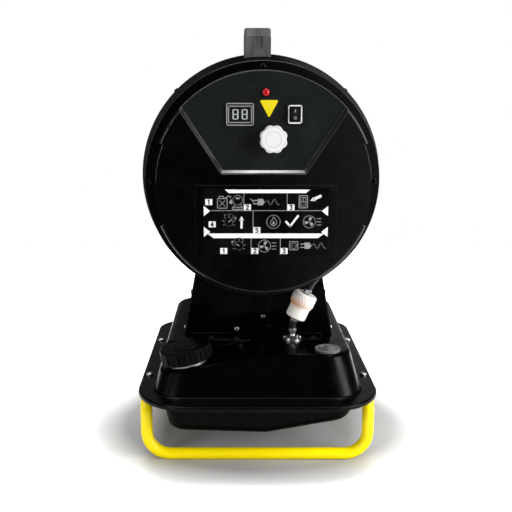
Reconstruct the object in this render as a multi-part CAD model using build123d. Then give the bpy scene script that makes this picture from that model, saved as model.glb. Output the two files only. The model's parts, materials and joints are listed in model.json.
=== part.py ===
from build123d import *
import math
import os

# A portable radiant diesel heater, in millimetres.
# +Z is up, the floor is z = 0 and +Y is the way the heater radiates. The control side faces -Y.
# The axis of the round head stands over the origin. A pressed steel fuel tank hangs in two bent
# tube frames, a sheet tower stands on it, and the drum-shaped head lies on the tower.

# Where the main groups stand
tank_x = -7
tower_x = -3.5
head_above_tank = 75

# Fits that repeat
seat_gap = 0.3
running_gap = 0.05
hole_gap = 0.2

# Fuel tank: two pressed halves joined at a flange
tank_width = 400
tank_length = 490
tank_sheet = 1.5
flange_top_z = 128
flange_rear_corner_r = 92
flange_front_corner_r = 58
flange_lip_h = 7
flange_roll_r = 3
hump_h = 62
hump_side_rim = 27
hump_rear_rim = 37
hump_front_rim = 22
hump_side_draft = 14.5
hump_rear_draft = 29
hump_front_draft = 6
hump_corner_r = 52
hump_edge_r = 10
hump_foot_r = 6
facet_angle = 10.7
facet_crease_x = -9.5
pan_side_rim = 41
pan_end_rim = 28
pan_depth = 64
pan_corner_r = 32
pan_side_draft = 12
pan_end_draft = 10
pan_edge_r = 18
pan_slope = 11.3
pan_left_slope = 1.9
pan_crease_x = 14

# Skid frames of bent tube
skid_tube_r = 10
skid_tube_wall = 1.5
skid_leg_inset = 85
skid_half_gap = 12
skid_top_bend_r = 34
skid_floor_bend_r = 40
skid_flat = 0.4
skid_bolt_gap = 62
skid_plug_t = 3
bolt_r = 3
bolt_head_r = 6
bolt_head_h = 4
nut_r = 5.8
nut_h = 5

# Filler neck, strainer and screw cap
filler_side_inset = 83
filler_rear_inset = 99
filler_clear = 10
neck_r = 29
neck_wall = 2.5
neck_h = 20
neck_depth = 12
neck_collar_r = 33
neck_collar_t = 2
strainer_wall = 0.8
strainer_depth = 45
strainer_slots = 12
gasket_t = 2
cap_r = 43
cap_skirt_wall = 3
cap_skirt_z = 6
cap_top_t = 5
cap_collar_wall = 3
cap_grooves = 14
cap_groove_r = 4.4
cap_dome_r = 22
cap_dome_h = 3
cap_thread_gap = 0.6

# Fuel gauge and its float
gauge_side_inset = 82
gauge_rear_inset = 98.5
gauge_r = 21.5
gauge_rim_w = 4
gauge_h = 3.5
gauge_body_depth = 12
gauge_stem_r = 5
gauge_pivot_depth = 46
gauge_ear_t = 2
gauge_arm_t = 3
gauge_pin_r = 1.2
float_arm_len = 60
float_arm_r = 1.2
float_r = 11
float_len = 22
float_rest_angle = -35
needle_len = 13
needle_t = 0.6

# Fuel line: pick-up, hoses and in-line filter
line_x = 62.8
line_behind_tower = 30
pickup_flange_r = 17.5
pickup_flange_t = 2.5
pickup_screw_circle = 13.6
pickup_screws = 5
pickup_hex_r = 10
pickup_hex_h = 8
pickup_neck_h = 12
pickup_tube_r = 3
pickup_foot_rise = 12
barb_r = 3.9
barb_len = 7.5
hose_r = 6
hose_bore_r = 4
hose_clear = 1.5
filter_tilt = 24
filter_start = (4.5, 39.6)
filter_bowl_r = 17.9
filter_bowl_len = 27
filter_rim_r = 19.4
filter_rim_len = 3.5
filter_cap_r = 20.8
filter_cap_len = 20
filter_wall = 2
filter_element_r = 13.5
filter_pleats = 14
clamp_w = 7
clamp_t = 0.8
clamp_screw_r = 2.6
clamp_screw_len = 10

# Tower between tank and head
tower_half_w = 132.5
tower_draft = 10.2
tower_rear_y = -55
tower_front_y = 66
tower_sheet = 1.2
tower_flange = 22
tower_foot_len = 34
tower_rear_feet = ((-116, -52), (80, 112))
tower_front_foot = (-112, 112)
tower_front_screws = (-84, 84)
tower_lap = 65
screw_r = 2
screw_head_r = 4.2
screw_head_h = 2.6

# Drum of the head
drum_sheet = 1.2
drum_front_r = 207
drum_taper = 16
drum_flange_w = 15
drum_rear_y = -123
drum_flare_y = -36
drum_joint_y = -34
drum_joint_lap = 26
drum_front_y = 72
drum_lip_w = 9
drum_screw_angle = 45

# Rear cover with its sunk control panel
cover_wall_lean = 3
cover_wall_inset = 14.5
cover_overhang = 0.6
cover_t = 2
cover_face_y = -190
cover_edge_r = 5
cover_screw_inset = 9
panel_sink = 5.5
panel_half_foot = 65.7
panel_half_head = 129.5
panel_foot_z = 17.2
panel_head_z = 114.5
notch_depth = 6
notch_half_angle = 22
label_pad_h = 0.8
label_pad_w = 222
label_pad_tall = 114
label_x = 4
label_z = -57
label_w = 196
label_tall = 104
label_t = 0.6

# Controls on the panel, as (x, height above the head's axis)
display_at = (-36.4, 108)
display_w = 43
display_tall = 35
display_proud = 2.2
display_depth = 12
display_window = (33, 22)
lamp_at = (3, 141)
lamp_r = 5.5
lamp_lens_h = 5
lamp_collar_h = 1.5
lamp_depth = 14
mark_at = (8, 116)
mark_side = 29
mark_t = 0.5
switch_at = (47.7, 108)
switch_w = 25
switch_tall = 31
switch_proud = 2.2
switch_depth = 20
rocker_w = 11
rocker_tall = 20
rocker_swing = 12
rocker_pin_r = 1.5
knob_at = (14.4, 71)
knob_r = 21.5
knob_h = 17
knob_lobes = 8
knob_lobe_r = 8
knob_lobe_depth = 2
knob_foot_gap = 1.5
pot_shaft_r = 3
pot_r = 12
pot_depth = 10
board_y = -162
board_w = 190
board_tall = 70
board_t = 1.6
board_z = 106
board_post_r = 3.5

# Burner inside the head
bulkhead_y = -60
bulkhead_t = 1.5
motor_r = 42
motor_len = 62
motor_front_y = -88
motor_plate_t = 2
motor_arm_r = 92
motor_post_r = 5
shaft_r = 4
shaft_rear_y = -156
shaft_front_y = -28
fan_hub_r = 13
fan_r = 49
fan_len = 20
fan_blades = 8
fan_blade_t = 1.6
air_tube_r = 54
air_tube_t = 1.2
air_tube_front_y = 16
nozzle_r = 8
nozzle_rear_y = -20
nozzle_front_y = 6
nozzle_arm_y = -12
electrode_r = 3
electrode_reach = 22
electrode_turn = 30
chamber_r = 64
chamber_t = 1.5
chamber_rear_y = 10
chamber_front_y = 76
radiant_r = 88
radiant_t = 2
radiant_hole_r = 3
reflector_t = 0.8
reflector_depth_y = 14
transformer_size = (62, 42, 52)
transformer_at = (-96, -92)
pump_r = 17
pump_z = (-119, -59)
pump_bracket_w = 24
fuel_pipe_r = 2.5
sensor_r = 6
sensor_len = 22

# Guard in front of the reflector
guard_wire_r = 2
guard_rim_inset = 13
guard_rise = 34
guard_bar_pitch = 30
guard_cross_z = 65
guard_rim_lengths = 8
guard_clip_w = 12
guard_clip_t = 1.5

# Carrying handle
handle_x = -7.5
handle_w = 44
handle_rear_y = -78
handle_front_y = 62
handle_rise = 39
handle_grip_t = 11
handle_leg_t = 17
handle_edge_r = 4
handle_recess = (16, 20, 1.5)

# Cable gland on the tower's front
gland_x = 62
gland_above_tank = 32
gland_bore_r = 4.1
gland_body_r = 9
gland_flange_r = 13
gland_out = 18
gland_in = 10
gland_thread_r = 8

# Places that follow from these sizes
flange_bottom_z = flange_top_z - 2 * tank_sheet
tank_top_z = flange_top_z + hump_h
head_axis_z = tank_top_z + head_above_tank + drum_front_r
drum_axis = Axis((0, 0, head_axis_z), (0, 1, 0))
skid_leg_y = tank_length / 2 - skid_leg_inset
skid_bolt_y = skid_leg_y - skid_bolt_gap
filler_x = filler_side_inset - tank_width / 2
filler_y = filler_rear_inset - tank_length / 2
facet_front_y = filler_y + cap_r + filler_clear
gauge_x = tank_width / 2 - gauge_side_inset
gauge_y = gauge_rear_inset - tank_length / 2
line_y = tower_rear_y - line_behind_tower
pickup_drop = (line_x - pan_crease_x) * math.tan(math.radians(pan_slope))
pickup_tube_len = hump_h + pan_depth - pickup_drop - pickup_foot_rise
drum_rear_r = drum_front_r - drum_taper
drum_flange_r = drum_rear_r - drum_flange_w
cover_flange_r = drum_rear_r + cover_overhang
cover_wall_r = drum_rear_r - cover_wall_inset
cover_r = cover_wall_r - cover_wall_lean
cover_screw_r = drum_rear_r - cover_screw_inset
tower_top_z = head_axis_z - drum_front_r + tower_lap
gland_z = tank_top_z + gland_above_tank
handle_top = drum_front_r + handle_rise
guard_rim_r = drum_front_r - guard_rim_inset


def tan_deg(angle):
    return math.tan(math.radians(angle))


def sin_deg(angle):
    return math.sin(math.radians(angle))


def cos_deg(angle):
    return math.cos(math.radians(angle))


def block(x0, x1, y0, y1, z0, z1):
    """A box between two corners."""
    size = Box(x1 - x0, y1 - y0, z1 - z0, align=(Align.MIN, Align.MIN, Align.MIN))
    return Pos(x0, y0, z0) * size


def rod(radius, start, end):
    """A round bar from one point to another."""
    a, b = Vector(*start), Vector(*end)
    bar = Cylinder(radius, (b - a).length, align=(Align.CENTER, Align.CENTER, Align.MIN))
    return Plane(origin=a, z_dir=b - a) * bar


def tube(outer_r, bore_r, start, end):
    """A round pipe from one point to another."""
    return rod(outer_r, start, end) - rod(bore_r, start, end)


def ring(outer_r, inner_r, height):
    """A flat ring that stands on its plane."""
    return extrude(Circle(outer_r) - Circle(inner_r), amount=height)


def turned(points, rounds=()):
    """A solid turned about the head's axis from (radius, y) points, with some corners rounded."""
    face = make_face(Polyline(*points, close=True))
    for index, radius in rounds:
        corner = face.vertices().sort_by_distance(Vector(*points[index]))[0]
        face = fillet(corner, radius)
    return revolve(Pos(0, 0, head_axis_z) * face, drum_axis, 360)


def head_rod(radius, x, z, y0, y1):
    """A round bar along Y, placed by its height above the head's axis."""
    return rod(radius, (x, y0, head_axis_z + z), (x, y1, head_axis_z + z))


def head_block(at, width, tall, y0, y1):
    """A box along Y centred on a place on the head's face."""
    x, z = at
    z += head_axis_z
    return block(x - width / 2, x + width / 2, y0, y1, z - tall / 2, z + tall / 2)


def group(solids):
    """Separate solids that share one node."""
    return Compound(children=[s for s in solids])


# Tank

hump_rear_y = -tank_length / 2 + hump_rear_rim
hump_front_y = tank_length / 2 - hump_front_rim
hump_half = tank_width / 2 - hump_side_rim
rear_side = Plane(origin=(tank_x, 0, 0), x_dir=(1, 0, 0), z_dir=(0, -1, 0))
left_side = Plane(origin=(tank_x, 0, 0), x_dir=(0, 1, 0), z_dir=(1, 0, 0))


def tank_top(x, y):
    """A plane that lies on the tank's top face."""
    return Plane(origin=(x, y, tank_top_z), x_dir=(1, 0, 0), z_dir=(0, 0, 1))


def outline(points):
    return make_face(Polyline(*points, close=True))


def drafted(rear_points, side_points, inset, corner_r, edge_r):
    """A block whose outline is given from the rear and from the side, with rounded corners.

    An inset makes the same block smaller by the sheet's thickness. The edges round its top
    faces are rounded too, but not the crease between two of those faces.
    """
    rear = offset(outline(rear_points), -inset) if inset else outline(rear_points)
    side = offset(outline(side_points), -inset) if inset else outline(side_points)
    block_a = rear_side * extrude(rear, tank_length, both=True)
    block_b = left_side * extrude(side, tank_width, both=True)
    solid = block_a & block_b
    upright = [e for e in solid.edges() if abs((e % 0.5).Z) > 0.75]
    solid = fillet(upright, corner_r - inset)
    flats = [f for f in solid.faces() if abs(f.normal_at().X) < 0.5 and abs(f.normal_at().Y) < 0.1]
    seats = flats if edge_r > 0 else []
    top = max(seats, key=lambda f: abs(f.center().Z - flange_top_z))
    outward = top.normal_at().Z
    seats = [f for f in seats if f.normal_at().Z * outward > 0.5]
    return fillet(loose_edges(seats), edge_r - inset)


def loose_edges(faces):
    """The edges round a few faces, without the edges that two of them share."""
    seen = {}
    for face in faces:
        for edge in face.edges():
            key = tuple(round(v, 2) for v in edge.center())
            seen.setdefault(key, []).append(edge)
    return [edges[0] for edges in seen.values() if len(edges) == 1]


def hump(inset, below):
    """The hump of the upper half, with a sloping facet for the filler at one corner."""
    low = -below
    side_low = hump_half - low * tan_deg(hump_side_draft)
    side_high = hump_half - hump_h * tan_deg(hump_side_draft)
    rear_low = hump_rear_y + low * tan_deg(hump_rear_draft)
    rear_high = hump_rear_y + hump_h * tan_deg(hump_rear_draft)
    front_low = hump_front_y - low * tan_deg(hump_front_draft)
    front_high = hump_front_y - hump_h * tan_deg(hump_front_draft)
    z_low, z_high = flange_top_z + low, tank_top_z
    side = [(rear_low, z_low), (front_low, z_low), (front_high, z_high), (rear_high, z_high)]
    tall = [(-side_low, z_low), (side_low, z_low), (side_high, z_high), (-side_high, z_high)]
    drop = (side_high + facet_crease_x) * tan_deg(facet_angle)
    drop /= 1 - tan_deg(facet_angle) * tan_deg(hump_side_draft)
    facet_x = -side_high - drop * tan_deg(hump_side_draft)
    low_rear = tall[:3] + [(facet_crease_x, z_high), (facet_x, z_high - drop)]
    cut_y = facet_front_y + inset
    front = block(-600, 600, cut_y, 600, 0, 600)
    rear = block(-600, 600, -600, cut_y, 0, 600)
    high_part = drafted(tall, side, inset, hump_corner_r, hump_edge_r) & front
    low_part = drafted(low_rear, side, inset, hump_corner_r, hump_edge_r) & rear
    return high_part + low_part


def pan(inset, above):
    """The pan of the lower half: a floor that rises from its lowest line to both sides."""
    half_rim = tank_width / 2 - pan_side_rim
    end_rim = tank_length / 2 - pan_end_rim
    z_high, z_low = flange_top_z + above, flange_top_z - pan_depth
    half_high = half_rim + above * tan_deg(pan_side_draft)
    end_high = end_rim + above * tan_deg(pan_end_draft)
    end_low = end_rim - pan_depth * tan_deg(pan_end_draft)
    left, right = pan_corner(-1, pan_left_slope), pan_corner(1, pan_slope)
    rear = [(-half_high, z_high), left, (pan_crease_x, z_low), right, (half_high, z_high)]
    side = [(-end_high, z_high), (-end_low, z_low), (end_low, z_low), (end_high, z_high)]
    return drafted(rear, side, inset, pan_corner_r, pan_edge_r)


def pan_corner(side, slope):
    """Where the pan's floor meets its left or right wall, as (x, z)."""
    half_low = tank_width / 2 - pan_side_rim - pan_depth * tan_deg(pan_side_draft)
    rise = (half_low - side * pan_crease_x) * tan_deg(slope)
    rise /= 1 - tan_deg(slope) * tan_deg(pan_side_draft)
    return side * (half_low + rise * tan_deg(pan_side_draft)), flange_top_z - pan_depth + rise


def flange_outline(inset):
    """The flange's outline, with wider corners at the rear."""
    face = Rectangle(tank_width - 2 * inset, tank_length - 2 * inset)
    face = fillet(face.vertices().sort_by(Axis.Y)[:2], flange_rear_corner_r - inset)
    return fillet(face.vertices().sort_by(Axis.Y)[-2:], flange_front_corner_r - inset)


def flange_bolt_places():
    side = skid_side_x
    return [(tank_x + sx * side, sy * skid_bolt_y) for sx in (-1, 1) for sy in (-1, 1)]


skid_side_x = tank_width / 2 - tank_sheet - seat_gap - skid_tube_r - 0.5
skid_run_z = flange_bottom_z - skid_tube_r
skid_floor_z = skid_tube_r - skid_flat
filler_drop = (facet_crease_x - filler_x) * tan_deg(facet_angle)
filler_plane = Plane(
    origin=(tank_x + filler_x, filler_y, tank_top_z - filler_drop),
    x_dir=(cos_deg(facet_angle), 0, sin_deg(facet_angle)),
    z_dir=(-sin_deg(facet_angle), 0, cos_deg(facet_angle)),
)
gauge_plane = tank_top(tank_x + gauge_x, gauge_y)
pickup_x = tank_x + line_x
pickup_plane = tank_top(pickup_x, line_y)
pickup_thread_r = 6


def near_rim(edge):
    """Whether an edge of the upper half runs along the flange's outer rim."""
    box = edge.bounding_box()
    reach = max(abs(box.min.X - tank_x), abs(box.max.X - tank_x)) + hump_side_rim / 2
    length = max(abs(box.min.Y), abs(box.max.Y)) + hump_side_rim / 2
    return reach > tank_width / 2 or length > tank_length / 2


def tank_upper_shell():
    tray = Pos(tank_x, 0, flange_top_z - flange_lip_h) * extrude(flange_outline(0), flange_lip_h)
    tray = fillet(tray.faces().sort_by(Axis.Z)[-1].edges(), flange_roll_r)
    reach = tank_sheet
    shell = tray + hump(0, reach)
    foot = [e for e in shell.edges() if abs(e.center().Z - flange_top_z) < 0.01]
    foot = [e for e in foot if not near_rim(e)]
    shell = fillet(foot, hump_foot_r) - hump(tank_sheet, reach + 4)
    inside = Pos(tank_x, 0, flange_top_z - tank_sheet - 20) * extrude(flange_outline(tank_sheet), 20)
    shell -= fillet(inside.faces().sort_by(Axis.Z)[-1].edges(), flange_roll_r - tank_sheet)
    shell -= filler_plane * Cylinder(neck_r + hole_gap, 40)
    shell -= gauge_plane * Cylinder(gauge_r - gauge_rim_w + hole_gap, 40)
    shell -= pickup_plane * Cylinder(pickup_thread_r + hole_gap, 40)
    for x, y in flange_bolt_places():
        shell -= Pos(x, y, flange_top_z) * Cylinder(bolt_r + hole_gap, 20)
    for x, y in tower_foot_places():
        shell -= tank_top(x, y) * Cylinder(screw_r + hole_gap, 10)
    return shell


def tank_lower_shell():
    inset = flange_roll_r + seat_gap
    plate = Pos(tank_x, 0, flange_bottom_z) * extrude(flange_outline(inset), tank_sheet)
    below = block(-600, 600, -600, 600, 0, flange_bottom_z + tank_sheet)
    shell = plate + (pan(0, 0) & below)
    shell -= pan(tank_sheet, 4)
    for x, y in flange_bolt_places():
        shell -= Pos(x, y, flange_bottom_z) * Cylinder(bolt_r + hole_gap, 20)
    return shell - drain_seat() * Cylinder(drain_thread_r + hole_gap, 30)


drain_thread_r = 6
drain_head_r = 9
drain_head_h = 6


drain_side_inset = 60
drain_y = -120


def drain_seat():
    """A plane on the outside of the pan's left floor."""
    z = flange_top_z - pan_depth + drain_side_inset * tan_deg(pan_left_slope)
    up = (sin_deg(pan_left_slope), 0, cos_deg(pan_left_slope))
    x = tank_x + pan_crease_x - drain_side_inset
    return Plane(origin=(x, drain_y, z), x_dir=(up[2], 0, -up[0]), z_dir=up)


def drain_plug():
    head = Pos(0, 0, -drain_head_h) * extrude(RegularPolygon(drain_head_r, 6), drain_head_h)
    thread = Cylinder(drain_thread_r, 8, align=(Align.CENTER, Align.CENTER, Align.MIN))
    return drain_seat() * (head + thread)


# Skid

def skid_route(side):
    """One frame: a side run, a leg, the floor bar and back again. Side is -1 at the rear."""
    x, end, leg = skid_side_x, side * skid_half_gap, side * skid_leg_y
    points = [
        (-x, end, skid_run_z),
        (-x, leg, skid_run_z),
        (-x, leg, skid_floor_z),
        (x, leg, skid_floor_z),
        (x, leg, skid_run_z),
        (x, end, skid_run_z),
    ]
    radii = [skid_top_bend_r, skid_floor_bend_r, skid_floor_bend_r, skid_top_bend_r]
    return FilletPolyline(*[(tank_x + px, py, pz) for px, py, pz in points], radius=radii)


def skid_tube(side):
    route = skid_route(side)
    start = Plane(origin=route @ 0, z_dir=route % 0)
    outer = sweep(start * Circle(skid_tube_r), path=route)
    bore = sweep(start * Circle(skid_tube_r - skid_tube_wall), path=route)
    frame = outer - bore - block(-600, 600, -600, 600, -10, 0)
    for x, y in flange_bolt_places():
        frame -= Pos(x, y, skid_run_z) * Cylinder(bolt_r + hole_gap, 4 * skid_tube_r)
    return frame


def skid_end_plugs():
    plugs = []
    for side in (-1, 1):
        for sx in (-1, 1):
            x = tank_x + sx * skid_side_x
            face = side * (skid_half_gap - skid_plug_t)
            mouth = side * skid_half_gap
            deep = side * (skid_half_gap + 12)
            head = rod(skid_tube_r, (x, face, skid_run_z), (x, mouth, skid_run_z))
            inner_r = skid_tube_r - skid_tube_wall
            stem = rod(inner_r, (x, mouth, skid_run_z), (x, deep, skid_run_z))
            plugs.append(head + stem)
    return group(plugs)


def pan_head(radius, height, shank_r, shank_len):
    """A domed screw that hangs from its seat at z = 0."""
    head = Cylinder(radius, height, align=(Align.CENTER, Align.CENTER, Align.MIN))
    head = fillet(head.edges().sort_by(Axis.Z)[-1], height * 0.6)
    slot = radius * 1.1
    head -= Pos(0, 0, height) * Box(slot, radius / 4, height * 0.8)
    head -= Pos(0, 0, height) * Box(radius / 4, slot, height * 0.8)
    shank = Cylinder(shank_r, shank_len, align=(Align.CENTER, Align.CENTER, Align.MAX))
    return head + shank


def skid_fasteners():
    """Four screws down through flange and tube, each with its nut."""
    length = 2 * tank_sheet + 2 * skid_tube_r + nut_h
    bolt = pan_head(bolt_head_r, bolt_head_h, bolt_r, length + 2)
    nut = extrude(RegularPolygon(nut_r, 6) - Circle(bolt_r + running_gap), nut_h)
    z = skid_run_z - skid_tube_r - nut_h
    places = flange_bolt_places()
    bolts = [Pos(x, y, flange_top_z) * bolt for x, y in places]
    return group(bolts + [Pos(x, y, z) * nut for x, y in places])


# Filler

def filler_neck():
    pipe = Pos(0, 0, -neck_depth) * ring(neck_r, neck_r - neck_wall, neck_depth + neck_h)
    collar = ring(neck_collar_r, neck_r - neck_wall, neck_collar_t)
    return filler_plane * (pipe + collar)


strainer_rim_t = 1


def filler_strainer():
    outer = neck_r - neck_wall - hole_gap
    cup = Cylinder(outer, strainer_depth + neck_h, align=(Align.CENTER, Align.CENTER, Align.MAX))
    hollow = Cylinder(outer - strainer_wall, strainer_depth + neck_h,
                      align=(Align.CENTER, Align.CENTER, Align.MAX))
    cup -= Pos(0, 0, strainer_wall) * hollow
    rim = ring(neck_r, outer - strainer_wall, strainer_rim_t)
    slot = Pos(outer, 0, -neck_h - strainer_depth * 0.55) * Box(8, 4, strainer_depth * 0.6)
    for i in range(strainer_slots):
        cup -= Rot(0, 0, i * 360 / strainer_slots) * slot
    return filler_plane * Pos(0, 0, neck_h) * (cup + rim)


gasket_z = neck_h + strainer_rim_t + seat_gap
cap_under_z = gasket_z + gasket_t + seat_gap


def cap_gasket():
    return filler_plane * Pos(0, 0, gasket_z) * ring(neck_r, neck_r - 7, gasket_t)


def filler_cap():
    height = cap_under_z + cap_top_t - cap_skirt_z
    body = Cylinder(cap_r, height, align=(Align.CENTER, Align.CENTER, Align.MIN))
    body = fillet(body.edges().sort_by(Axis.Z)[-1], 2.5)
    dome = Cylinder(cap_dome_r, cap_dome_h, align=(Align.CENTER, Align.CENTER, Align.MIN))
    dome = fillet(dome.edges().sort_by(Axis.Z)[-1], cap_dome_h * 0.8)
    body += Pos(0, 0, height) * dome
    under = cap_under_z - cap_skirt_z
    body -= extrude(Circle(cap_r - cap_skirt_wall), under)
    thread_r = neck_r + cap_thread_gap
    collar = ring(thread_r + cap_collar_wall, thread_r, under - neck_collar_t)
    body += Pos(0, 0, neck_collar_t) * collar
    groove = Pos(cap_r + cap_groove_r * 0.45, 0, -1) * Cylinder(
        cap_groove_r, height - 2, align=(Align.CENTER, Align.CENTER, Align.MIN)
    )
    for i in range(cap_grooves):
        body -= Rot(0, 0, i * 360 / cap_grooves) * groove
    return filler_plane * Pos(0, 0, cap_skirt_z) * body


# Gauge

gauge_body_r = gauge_r - gauge_rim_w
dial_z = -1
dial_t = 0.8
lens_t = 1


def gauge_bezel():
    rim = ring(gauge_r, gauge_body_r, gauge_h)
    rim = fillet(rim.edges().filter_by(GeomType.CIRCLE).sort_by(Axis.Z)[-2:], gauge_rim_w * 0.3)
    return gauge_plane * rim


def gauge_body():
    top = Pos(0, 0, -gauge_body_depth) * Cylinder(
        gauge_body_r, gauge_body_depth + dial_z, align=(Align.CENTER, Align.CENTER, Align.MIN)
    )
    stem = rod(gauge_stem_r, (0, 0, -gauge_pivot_depth + 4), (0, 0, -gauge_body_depth))
    ear = gauge_arm_t / 2 + seat_gap
    fork = Pos(0, 0, -gauge_pivot_depth) * Box(2 * (ear + gauge_ear_t), 9, 9)
    fork -= Pos(0, 0, -gauge_pivot_depth - 0.5) * Box(2 * ear, 12, 8.1)
    pin_z = -gauge_pivot_depth
    pin_hole = rod(gauge_pin_r + running_gap, (-20, 0, pin_z), (20, 0, pin_z))
    spindle_hole = rod(needle_pin_r + running_gap, (0, 0, -6), (0, 0, 2))
    return gauge_plane * (top + stem + fork - pin_hole - spindle_hole)


needle_pin_r = 1


def gauge_dial():
    disc = Pos(0, 0, dial_z) * ring(gauge_body_r, needle_pin_r + hole_gap, dial_t)
    return gauge_plane * disc


def gauge_lens():
    z = gauge_h - lens_t - 0.8
    return gauge_plane * Pos(0, 0, z) * Cylinder(
        gauge_body_r, lens_t, align=(Align.CENTER, Align.CENTER, Align.MIN)
    )


needle_z = dial_z + dial_t + 0.3


def gauge_needle():
    hub = rod(2, (0, 0, needle_z), (0, 0, needle_z + needle_t))
    pin = rod(needle_pin_r, (0, 0, -5), (0, 0, needle_z))
    blade = extrude(Polygon((0, -1.1), (needle_len, -0.3), (needle_len, 0.3), (0, 1.1),
                            align=None), needle_t)
    blade = Rot(0, 0, needle_rest_angle) * Pos(0, 0, needle_z) * blade
    return gauge_plane * (hub + pin + blade)


needle_rest_angle = 135


def float_direction():
    return cos_deg(float_rest_angle), sin_deg(float_rest_angle)


def float_arm():
    out, up = float_direction()
    pivot_z = -gauge_pivot_depth
    boss = rod(3, (-gauge_arm_t / 2, 0, pivot_z), (gauge_arm_t / 2, 0, pivot_z))
    half_pin = gauge_arm_t / 2 + seat_gap + gauge_ear_t
    pin = rod(gauge_pin_r, (-half_pin, 0, pivot_z), (half_pin, 0, pivot_z))
    near = (0, 2 * out, pivot_z + 2 * up)
    end = float_arm_len - float_r + 1
    far = (0, end * out, pivot_z + end * up)
    centre = (float_arm_len * out, -gauge_pivot_depth + float_arm_len * up)
    a = (-float_len / 2, centre[0], centre[1])
    b = (float_len / 2, centre[0], centre[1])
    body = rod(float_r, a, b)
    body = fillet(body.edges().filter_by(GeomType.CIRCLE), 3)
    return gauge_plane * (boss + pin + rod(float_arm_r, near, far) + body)


# Fuel line

pickup_top_z = pickup_plane.origin.Z + pickup_neck_h
filter_u = Vector(sin_deg(filter_tilt), 0, cos_deg(filter_tilt))
filter_base = pickup_plane.origin + Vector(filter_start[0], 0, filter_start[1])
filter_len = filter_bowl_len + filter_cap_len
filter_top = filter_base + filter_u * filter_len
filter_x = (cos_deg(filter_tilt), 0, -sin_deg(filter_tilt))
filter_plane = Plane(origin=filter_base, x_dir=filter_x, z_dir=filter_u)
pump_x = 104
pump_low_z = head_axis_z + pump_z[0]


def pickup_fitting():
    base = fillet(extrude(Circle(pickup_flange_r), pickup_flange_t).edges().sort_by(Axis.Z)[-1], 0.8)
    base += extrude(RegularPolygon(pickup_hex_r, 6), pickup_hex_h)
    screw = pan_head(screw_r * 1.3, screw_head_h * 0.7, 1, pickup_flange_t / 2)
    for i in range(pickup_screws):
        at = Rot(0, 0, 18 + i * 360 / pickup_screws) * Pos(pickup_screw_circle, 0, pickup_flange_t)
        base += at * screw
    neck = Cylinder(5, pickup_neck_h, align=(Align.CENTER, Align.CENTER, Align.MIN))
    barb = Cylinder(barb_r, pickup_neck_h + barb_len, align=(Align.CENTER, Align.CENTER, Align.MIN))
    thread = Cylinder(pickup_thread_r, 10, align=(Align.CENTER, Align.CENTER, Align.MAX))
    pipe = Cylinder(pickup_tube_r, pickup_tube_len, align=(Align.CENTER, Align.CENTER, Align.MAX))
    foot = Pos(0, 0, -pickup_tube_len) * Cylinder(5, 8)
    solid = base + neck + barb + thread + pipe + foot
    bore = Cylinder(1.8, 3 * (pickup_tube_len + pickup_neck_h))
    return pickup_plane * (solid - bore)


def bent_rod(points, radius):
    """A round bar along straight runs joined by arcs."""
    route = FilletPolyline(*points, radius=arc_radii(points))
    start = Plane(origin=route @ 0, z_dir=route % 0)
    return sweep(start * Circle(radius), path=route)


def hose(points):
    """A rubber hose along its points."""
    return bent_rod(points, hose_r) - bent_rod(points, hose_bore_r)


def arc_radii(points, share=0.45):
    """At each corner, the largest arc that its two runs allow."""
    radii = []
    for a, b, c in zip(points, points[1:], points[2:]):
        before, after = Vector(*b) - Vector(*a), Vector(*c) - Vector(*b)
        turn = before.get_angle(after)
        radii.append(share * min(before.length, after.length) / tan_deg(turn / 2))
    return radii


def lower_hose_points():
    bend_t = (filter_base.X - pickup_x) / filter_u.X
    bend = filter_base - filter_u * bend_t
    start = (pickup_x, line_y, pickup_top_z)
    return [start, tuple(bend), tuple(filter_base)]


def upper_hose_points():
    lead = filter_top + filter_u * 17
    wall = (pump_x - 2, line_y, lead.Z + 20)
    rise = (pump_x, line_y, lead.Z + 38)
    end = (pump_x, line_y, pump_low_z)
    return [tuple(filter_top), tuple(lead), wall, rise, end]


def lower_hose():
    return hose(lower_hose_points())


def upper_hose():
    return hose(upper_hose_points())


def hose_clamp():
    """A screw clamp that stands on its plane, round a hose along Z."""
    inner = hose_r + hole_gap
    band = ring(inner + clamp_t, inner, clamp_w)
    y = -(inner + clamp_t + clamp_screw_r * 0.8)
    half = clamp_screw_len / 2
    screw = rod(clamp_screw_r, (-half, y, clamp_w / 2), (half, y, clamp_w / 2))
    saddle = Pos(0, -inner - clamp_t / 2, clamp_w / 2) * Box(7, 2.4, clamp_w * 0.9)
    saddle -= Cylinder(inner, 60)
    return band + screw + saddle


def hose_clamps():
    clamp = hose_clamp()
    down = filter_plane * Pos(0, 0, -clamp_w)
    up = filter_plane * Pos(0, 0, filter_len + 1)
    return group([
        Pos(pickup_x, line_y, pickup_top_z + 1) * clamp,
        down * clamp,
        up * clamp,
        Pos(pump_x, line_y, pump_low_z - 1 - clamp_w) * clamp,
    ])


def filter_bowl():
    body = Cylinder(filter_bowl_r, filter_bowl_len, align=(Align.CENTER, Align.CENTER, Align.MIN))
    body = fillet(body.edges().filter_by(GeomType.CIRCLE).sort_by(Axis.Z)[0], 3)
    rim = Pos(0, 0, filter_bowl_len - filter_rim_len) * Cylinder(
        filter_rim_r, filter_rim_len, align=(Align.CENTER, Align.CENTER, Align.MIN)
    )
    inside = Pos(0, 0, filter_wall) * Cylinder(
        filter_bowl_r - filter_wall, filter_bowl_len, align=(Align.CENTER, Align.CENTER, Align.MIN)
    )
    barb = Cylinder(barb_r, barb_len, align=(Align.CENTER, Align.CENTER, Align.MAX))
    return filter_plane * (body + rim + barb - inside - Cylinder(1.8, 60))


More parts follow.
